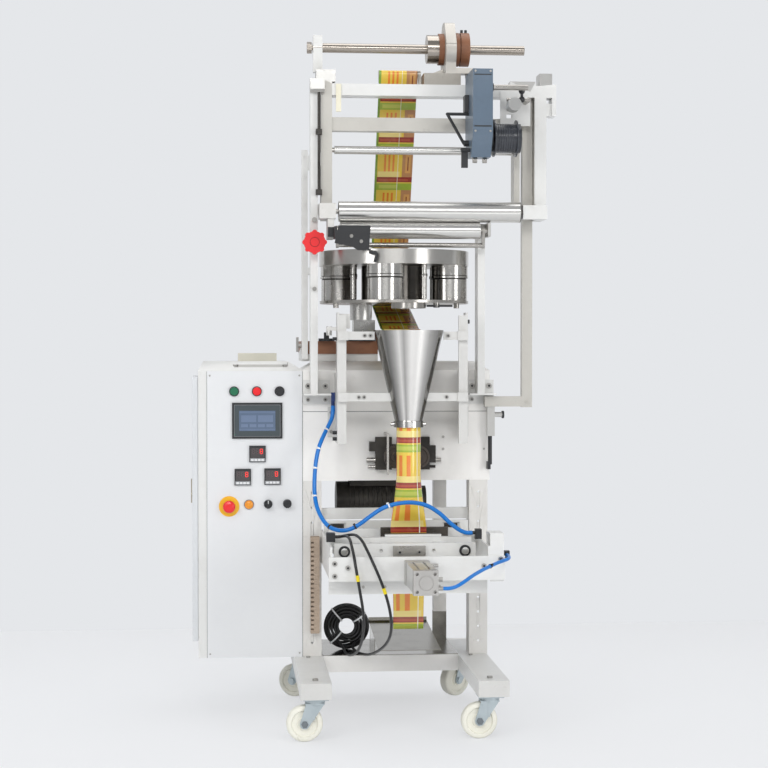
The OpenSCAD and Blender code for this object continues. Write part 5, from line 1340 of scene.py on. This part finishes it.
@dataclass
class PullUnit:
    """The two wheels that pull the film tube down."""

    regions: Patches = (
        Patch("left shaft ends", STEEL, (-113, -20, 715), (-86.05, -1, 752)),
        Patch("right shaft ends", STEEL, (92.05, -20, 735), (109, -1, 752)),
        Patch("front leaf of the bracket", STEEL, (-61, -105, 705), (-53, -92, 827)),
        Patch("upper leaf of the bracket", STEEL, (-61, -105, 819.9), (-53, 0, 827)))

    def build(self) -> None:
        """Gives the pulling unit its finishes."""
        dress("pull_unit", SOOT, self.regions, Edge.SHARP)
        for side in ("left", "right"):
            dress(f"pull_wheel_{side}", RUBBER, edge=Edge.SOFT)


@dataclass
class JawUnit:
    """The sealing jaws, their guide rods, the channel and the air cylinder."""

    rods_x: Span = (-199.0, 137.0)
    channel_y: float = -430.0
    channel_screws: tuple[Span, ...] = ((-232, 490), (-196, 478), (-232, 456), (176, 480),
                                        (222, 498))
    bar_screws_x: Span = (-46, 8)
    frame_regions: Patches = (
        Patch("cable clamp", BLACK, (-247, -293, 534.05), (-221, -261, 559)),
        Patch("clamp of the left hose", BLACK, (169, -251, 534.05), (197, -227, 563)),
        Patch("clamp of the right hose", BLACK, (232.05, -369, 491), (259, -339, 513)),
        Patch("channel screws", SCREW, (-242, -436, 440), (232, -430.05, 510)),
        Patch("lower bar's screws", SCREW, (-155, -373, 410), (65, -370.05, 425)))
    front_regions: Patches = (
        Patch("push block's screws", SCREW, (-55, -346, 500), (20, -340.05, 518)),
        Patch("push block and piston rod", STEEL, (-65, -480, 440), (27, -330.05, 527)),
        Patch("heater block", HEATER, (-77, -219.95, 497), (85, -160, 547)))
    rear_regions: Patches = (Patch("heater block", HEATER, (-77, -130, 497), (121, -70.05, 553)),)
    cylinder_regions: Patches = (
        Patch("air fittings", SCREW, (22.55, -700, 430), (60, -420, 500)),
        Patch("barrel", EXTRUDED, (-42, -639.95, 432), (22, -474.05, 500)))

    def _round_rods(self, part: str, finish: Finish, half: float, ys: Span, zs: Span) -> Patches:
        """Gives a region round each guide rod.

        Args:
            part: what it is.
            finish: its finish.
            half: half its width, in millimetres.
            ys: where it starts and ends along the rod.
            zs: its lower and upper limit.

        Returns:
            The two regions.
        """
        return tuple(Patch(part, finish, (x - half, ys[0], zs[0]), (x + half, ys[1], zs[1]))
                     for x in self.rods_x)

    def build(self) -> None:
        """Gives the sealing unit its finishes."""
        # Painted shade in the hex recesses of the channel's screws and the bar's screws.
        socket_shades = painted_socket_shades([(x, self.channel_y, z, 7, 4) for x, z in self.channel_screws])
        rods = self._round_rods("guide rod", ROD, 10.2, (-338.5, -22.05), (500.8, 521.2))
        windows = self._round_rods("dark window", SOOT, 20.3, (-17.3, -16.1), (530.9, 557.1))
        dress("jaw_frame", PAINT, socket_shades + rods + windows + self.frame_regions, Edge.SOFT)
        socket_shades = painted_socket_shades([(x, -340, 509, 7, 5) for x in self.bar_screws_x])
        bushes = self._round_rods("bush", BLACK, 16.5, (-334, -330.05), (494, 528))
        dress("front_jaw", PAINT, socket_shades + bushes + self.front_regions, Edge.SOFT)
        dress("rear_jaw", PAINT, self.rear_regions, Edge.SOFT)
        dress("air_cylinder", CAST, self.cylinder_regions, Edge.ROUND)


@dataclass
class FilmWeb:
    """The printed film: over its rollers, into the funnel and down as a tube."""

    web_w: float = 114.0
    web_x: float = -15.0
    across: int = 40
    step: float = 16.0
    top_rod: Span = (30.0, 1883.0)
    top_r: float = 11.0
    low_rod: Span = (279.0, 1216.0)
    low_r: float = 10.6
    start: Span = (41.0, 1858.0)
    rear_run: tuple[Span, ...] = ((295.3, 1379.0), (295.6, 1375.0))
    to_funnel: tuple[Span, ...] = ((-24.0, 1130.0), (-62.0, 1128.0), (-84.0, 1100.0),
                                   (-96.0, 1064.0))
    tube_y: float = -130.0
    around: int = 48
    skin: float = 0.2
    creased: Span = (560.0, 700.0)
    print_at_tube: float = 0.05
    fin_z: tuple[float, ...] = (843, 810, 775, 740, 700)
    fin_y: float = 35.3
    fin_w: float = 26.0
    thickness: float = 0.0004
    # Height, half width, half depth and shift to the back of each ring of the tube.
    rings: tuple[tuple[float, float, float, float], ...] = (
        (898, 35.5, 35.5, 0), (860, 35.5, 35.5, 0), (820, 35.5, 35.5, 0), (780, 35.5, 35.5, 0),
        (740, 35.5, 35.5, 0), (700, 35.5, 35.5, 0), (680, 37.2, 33.6, 0), (660, 39, 31, 0),
        (640, 41.4, 26.8, 0), (620, 44, 22, 0), (602, 46.6, 16, 0), (585, 49, 10, 0),
        (572, 50.6, 5.2, 0), (560, 52, 1.0, 0), (520, 52, 1.0, 0), (480, 52, 1.0, 0),
        (460, 51, 3.2, 0), (440, 50, 5, 0), (400, 47.4, 7.4, 0), (360, 45, 9, 0),
        (330, 44.4, 8.2, 0.8), (300, 44, 6, 2), (280, 44, 3.4, 4), (262, 44, 1.2, 6))

    def _side(self) -> list[Vector]:
        """Gives the web's line from the top roller to the funnel.

        Returns:
            Points with Y and Z in inner millimetres.
        """
        (top_y, top_z), (low_y, low_z) = self.top_rod, self.low_rod
        line = [self.start]
        for a in (math.radians(d) for d in range(0, 211, 15)):
            line.append((top_y + self.top_r * math.cos(a), top_z + self.top_r * math.sin(a)))
        line += self.rear_run
        for a in (math.radians(d) for d in range(0, 91, 15)):
            line.append((low_y + self.low_r * math.cos(a), low_z - self.low_r * math.sin(a)))
        line += self.to_funnel
        dense = [Vector((0, line[0][0], line[0][1]))]
        for (ya, za), (yb, zb) in zip(line, line[1:]):
            count = max(1, round(math.hypot(yb - ya, zb - za) / self.step))
            for k in range(1, count + 1):
                t = k / count
                dense.append(Vector((0, ya + (yb - ya) * t, za + (zb - za) * t)))
        return dense

    def _skin(self, bm: bmesh.types.BMesh, rows: Iterable[Iterable[tuple[Vector, Span]]]) -> None:
        """Lays faces between rows of points.

        Args:
            bm: the shape.
            rows: the points of each row with their places on the print.
        """
        uv = bm.loops.layers.uv["print"]
        places: dict[bmesh.types.BMVert, Span] = {}
        made = []
        for row in rows:
            made.append([])
            for spot, place in row:
                made[-1].append(bm.verts.new(spot))
                places[made[-1][-1]] = place
        for a, b in zip(made, made[1:]):
            for k in range(len(a) - 1):
                face = bm.faces.new((a[k], a[k + 1], b[k + 1], b[k]))
                for loop in face.loops:
                    loop[uv].uv = places[loop.vert]

    def _web(self) -> Iterator[list[tuple[Vector, Span]]]:
        """Gives the rows of the web, which ripples a little.

        Yields:
            The points of each row with their places on the print.
        """
        run = 0.0
        line = self._side()
        for i, p in enumerate(line):
            run += (p - line[i - 1]).length if i else 0.0
            row = []
            for k in range(self.across + 1):
                s = k / self.across
                ripple = 0.25 * math.sin(s * 9 + run * 0.021) * math.sin(run * 0.013)
                row.append((at(self.web_x + (s - 0.5) * self.web_w, p.y - abs(ripple), p.z),
                            (s, run * MM)))
            yield row

    def _tube(self) -> Iterator[list[tuple[Vector, Span]]]:
        """Gives the rings of the tube, creased where it closes towards the jaws.

        Yields:
            The points of each ring with their places on the print.
        """
        run = self.print_at_tube
        for i, (z, half_w, half_d, dy) in enumerate(self.rings):
            run += abs(z - self.rings[i - 1][0]) * MM if i else 0.0
            row = []
            for k in range(self.around + 1):
                s = k / self.around
                a = 2 * math.pi * (s + 0.25)
                inside = self.creased[0] < z < self.creased[1]
                crease = 0.6 * math.sin(5 * a + z * 0.03) if inside else 0.0
                x = (half_w - self.skin + crease * 0.3) * math.cos(a)
                y = (half_d - self.skin + crease * 0.4) * math.sin(a)
                row.append((at(x, self.tube_y + dy + y, z), (s, run)))
            yield row
        LOG.info("film tube built over %.2f m", run - self.print_at_tube)

    def _fin(self) -> Iterator[list[tuple[Vector, Span]]]:
        """Gives the rows of the seam that stands out behind the tube.

        Yields:
            The points of each row with their places on the print.
        """
        for z in self.fin_z:
            run = self.print_at_tube + (self.rings[0][0] - z) * MM
            yield [(at(0.0, self.tube_y + self.fin_y + k * self.fin_w / 3, z),
                    (0.02 + 0.01 * k, run)) for k in range(4)]

    def build(self) -> None:
        """Builds the web, the tube and its seam with their map for the print."""
        bm = bmesh.new()
        bm.loops.layers.uv.new("print")
        for rows in (self._web(), self._tube(), self._fin()):
            self._skin(bm, rows)
        sheet = mesh_piece("film_sheet", bm, 50.0)
        sheet.data.materials.append(FilmPrint().material())
        solid = sheet.modifiers.new("film_thickness", "SOLIDIFY")
        solid.thickness = self.thickness
        solid.offset = -1.0
        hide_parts("film")
        own(sheet, "frame")


@dataclass(frozen=True)
class PrintArea:
    """One colour of the print: where it lies along each repeat and across the film, 0 to 1."""

    colour: str
    along: Span | None = None
    across: Span | None = None


@dataclass(frozen=True)
class FilmPrint:
    """The film's plain print: bands across and strips along, with no picture on it; one thin pale
    strip is also a painted highlight on the tube.
    """

    repeat: float = 0.130
    ground: str = "ecca4c"
    bars: float = 9.0
    bar: Span = (0.12, 0.60)
    barred: PrintArea = PrintArea("ec8434", (0.40, 0.86), (0.20, 0.56))
    areas: tuple[PrintArea, ...] = (
        PrintArea("f3dd8a", (0.86, 1.0), (0.08, 0.66)),
        PrintArea("c08a5c", (0.33, 1.0), (0.72, 1.01)),
        PrintArea("d9a25e", (0.44, 0.90), (0.80, 0.95)),
        PrintArea("8f4a33", (0.50, 0.84), (0.86, 0.89)),
        PrintArea("a3b93f", (0.16, 0.33)),
        PrintArea("c4cb57", (0.20, 0.29), (0.12, 0.62)),
        PrintArea("9a3a30", (0.0, 0.13)),
        PrintArea("b8513a", (0.05, 0.10), (0.10, 0.90)),
        PrintArea("7fa23a", across=(-0.1, 0.06)),
        # A thin near-white line: printed on the flat web, and a painted highlight along the tube.
        PrintArea("f2f0e4", across=(0.600, 0.612)))
    rubbed: str = "e9dfb8"
    mean: str = "e3bb4c"

    def material(self) -> bpy.types.Material:
        """Makes the printed film.

        Returns:
            The glossy film's material.
        """
        mat, wire, shader, place = KIT.blank("printed_film")
        spot = wire.add("SeparateXYZ", {0: wire.add("UVMap", uv_map="print").outputs[0]})
        s, run = spot.outputs["X"], spot.outputs["Y"]
        beat = wire.math("FRACT", wire.math("DIVIDE", run, self.repeat))

        def mask(area: PrintArea) -> bpy.types.NodeSocket:
            """Gives 1 inside an area of the print.

            Args:
                area: the area.

            Returns:
                The mask's socket.
            """
            sides = [wire.between(value, limits)
                     for value, limits in ((beat, area.along), (s, area.across)) if limits]
            return wire.math("MULTIPLY", *sides) if len(sides) == 2 else sides[0]

        bars = wire.between(wire.math("FRACT", wire.math("MULTIPLY", s, self.bars)), self.bar)
        tint = wire.over(self.ground, self.barred.colour,
                         wire.math("MULTIPLY", bars, mask(self.barred)))
        for area in self.areas:
            tint = wire.over(tint, area.colour, mask(area))
        marks = wire.group(KIT.marks, Vector=place, Amount=0.35).outputs["Mask"]
        tint = wire.over(tint, self.rubbed, wire.math("MULTIPLY", marks, 0.4))
        grain = wire.group(KIT.grain, Vector=place, Stretch=(1.0, 1.0, 0.12), Size=46.0)
        bump = wire.add("Bump", {"Strength": 0.35, "Distance": 0.002,
                                 "Height": grain.outputs["Height"]})
        gloss = wire.add("MapRange", {"Value": grain.outputs["Mask"], "To Min": 0.14,
                                      "To Max": 0.34})
        for key, value in (("Base Color", tint), ("Normal", bump.outputs["Normal"]),
                           ("Roughness", gloss.outputs[0]), ("Coat Weight", 0.6),
                           ("Coat Roughness", 0.10)):
            wire.feed(shader, key, value)
        wire.brush(shader, (0.03, 0.03, 1.0), 0.6)
        mat.diffuse_color = srgb(self.mean)
        return mat


@dataclass(frozen=True)
class Lamp:
    """A soft light: where it hangs and aims in metres, its width and height, and its watts."""

    name: str
    spot: Point
    aim: Point
    size: Span
    power: float

    def hang(self) -> None:
        """Hangs the light."""
        data = bpy.data.lights.new(self.name, "AREA")
        data.shape = "RECTANGLE"
        data.size, data.size_y = self.size
        data.energy = self.power
        obj = bpy.data.objects.new(self.name, data)
        obj.location = self.spot
        way = Vector(self.aim) - Vector(self.spot)
        obj.rotation_euler = way.to_track_quat("-Z", "Y").to_euler()
        bpy.context.scene.collection.objects.link(obj)


@dataclass
class Studio:
    """The plain floor and wall, the soft lights and the camera."""

    reach: float = 12.0
    wall_y: float = 1.79
    wall_h: float = 9.0
    floor_code: str = "eff0f2"
    floor_seen: float = 0.62
    wall_code: str = "e5e7ea"
    wall_seen: float = 1.0
    sky_code: str = "e6e8ea"
    sky: float = 0.50
    camera_at: Point = (-0.4424, -5.101, 1.082)
    look_down: float = 1.2362
    look_left: float = -5.1428
    lens: float = 84.375
    sensor: float = 36.0
    lamps: tuple[Lamp, ...] = (
        Lamp("key_light", (-3.0, -3.4, 2.6), (0.0, 0.0, 0.9), (1.2, 3.0), 58.0),
        Lamp("fill_light", (3.0, -3.6, 1.4), (0.0, 0.0, 0.8), (1.2, 2.4), 52.0),
        Lamp("front_light", (-0.4, -5.4, 3.7), (0.0, 0.0, 0.7), (3.0, 1.2), 84.0),
        Lamp("low_light", (0.3, -3.6, 0.4), (0.0, 0.0, 0.1), (2.0, 0.5), 3.0),
        Lamp("top_light", (0.0, 0.3, 4.0), (0.0, 0.0, 0.8), (3.0, 2.0), 36.0))

    def camera(self) -> None:
        """Puts the camera where the photograph was taken from."""
        data = bpy.data.cameras.new("photo_camera")
        data.lens = self.lens
        data.sensor_width = self.sensor
        cam = bpy.data.objects.new("photo_camera", data)
        cam.location = self.camera_at
        cam.rotation_euler = (math.radians(90 - self.look_down), 0.0, math.radians(self.look_left))
        bpy.context.scene.collection.objects.link(cam)
        bpy.context.scene.camera = cam

    @staticmethod
    def _stage_finish(name: str, code: str, seen: float) -> bpy.types.Material:
        """Makes a finish that the camera, mirrors and glass see as a plain colour.

        Args:
            name: the finish's name.
            code: its colour.
            seen: how far they see the plain colour in place of the lit one, 0 to 1.

        Returns:
            The material, clear from behind.
        """
        mat = bpy.data.materials.new(name)
        mat.use_nodes = True
        wire = Wiring(mat.node_tree)
        wire.tree.nodes.clear()
        ray = wire.add("LightPath").outputs
        mirrored = wire.math("MAXIMUM", ray["Is Camera Ray"], ray["Is Glossy Ray"])
        seen_plain = wire.math("MAXIMUM", mirrored, ray["Is Transmission Ray"])
        lit = wire.add("BsdfDiffuse", {"Color": srgb(code)}).outputs[0]
        plain = wire.add("Emission", {"Color": srgb(code)}).outputs[0]
        share = wire.math("MULTIPLY", seen_plain, seen)
        shown = wire.add("MixShader", {0: share, 1: lit, 2: plain}).outputs[0]
        behind = wire.add("NewGeometry").outputs["Backfacing"]
        clear = wire.add("BsdfTransparent").outputs[0]
        front = wire.add("MixShader", {0: behind, 1: shown, 2: clear}).outputs[0]
        wire.add("OutputMaterial", {"Surface": front})
        return mat

    def _stage_piece(self, name: str, corners: Iterable[Point], finish: bpy.types.Material) -> None:
        """Makes a flat piece of the stage.

        Args:
            name: the piece's name.
            corners: its corners in metres.
            finish: its material.
        """
        bm = bmesh.new()
        bm.faces.new([bm.verts.new(Vector(c)) for c in corners])
        mesh = bpy.data.meshes.new(name)
        bm.to_mesh(mesh)
        bm.free()
        mesh.materials.append(finish)
        obj = bpy.data.objects.new(name, mesh)
        bpy.context.scene.collection.objects.link(obj)

    def build(self) -> None:
        """Makes the stage, the world and the lights."""
        far, wall, top = self.reach, self.wall_y, self.wall_h
        floor = ((-far, -far, 0), (far, -far, 0), (far, far, 0), (-far, far, 0))
        back = ((-far, wall, 0), (far, wall, 0), (far, wall, top), (-far, wall, top))
        for name, corners, code, seen in (
                ("stage_floor", floor, self.floor_code, self.floor_seen),
                ("stage_wall", back, self.wall_code, self.wall_seen)):
            self._stage_piece(name, corners, self._stage_finish(name, code, seen))
        world = bpy.data.worlds.new("studio_world")
        world.use_nodes = True
        glow = world.node_tree.nodes["Background"]
        glow.inputs["Color"].default_value = srgb(self.sky_code)
        glow.inputs["Strength"].default_value = self.sky
        bpy.context.scene.world = world
        for lamp in self.lamps:
            lamp.hang()
        bpy.context.scene.view_settings.view_transform = "Standard"


def main() -> None:
    """Builds the scene, cords and camera first, and reports each assembly."""
    logging.basicConfig(level=logging.INFO, format="%(message)s")
    studio = Studio()
    studio.camera()
    CordSet().build()
    for assembly in (Base(), Body(), Cabinet(), OperatorPanel(), UpperFrame(), Reel(), Printer(),
                     DosingHead(), FunnelUnit(), PullUnit(), JawUnit(), FilmWeb()):
        assembly.build()
        LOG.info("%s done", type(assembly).__name__)
    studio.build()


if __name__ == "__main__":
    main()
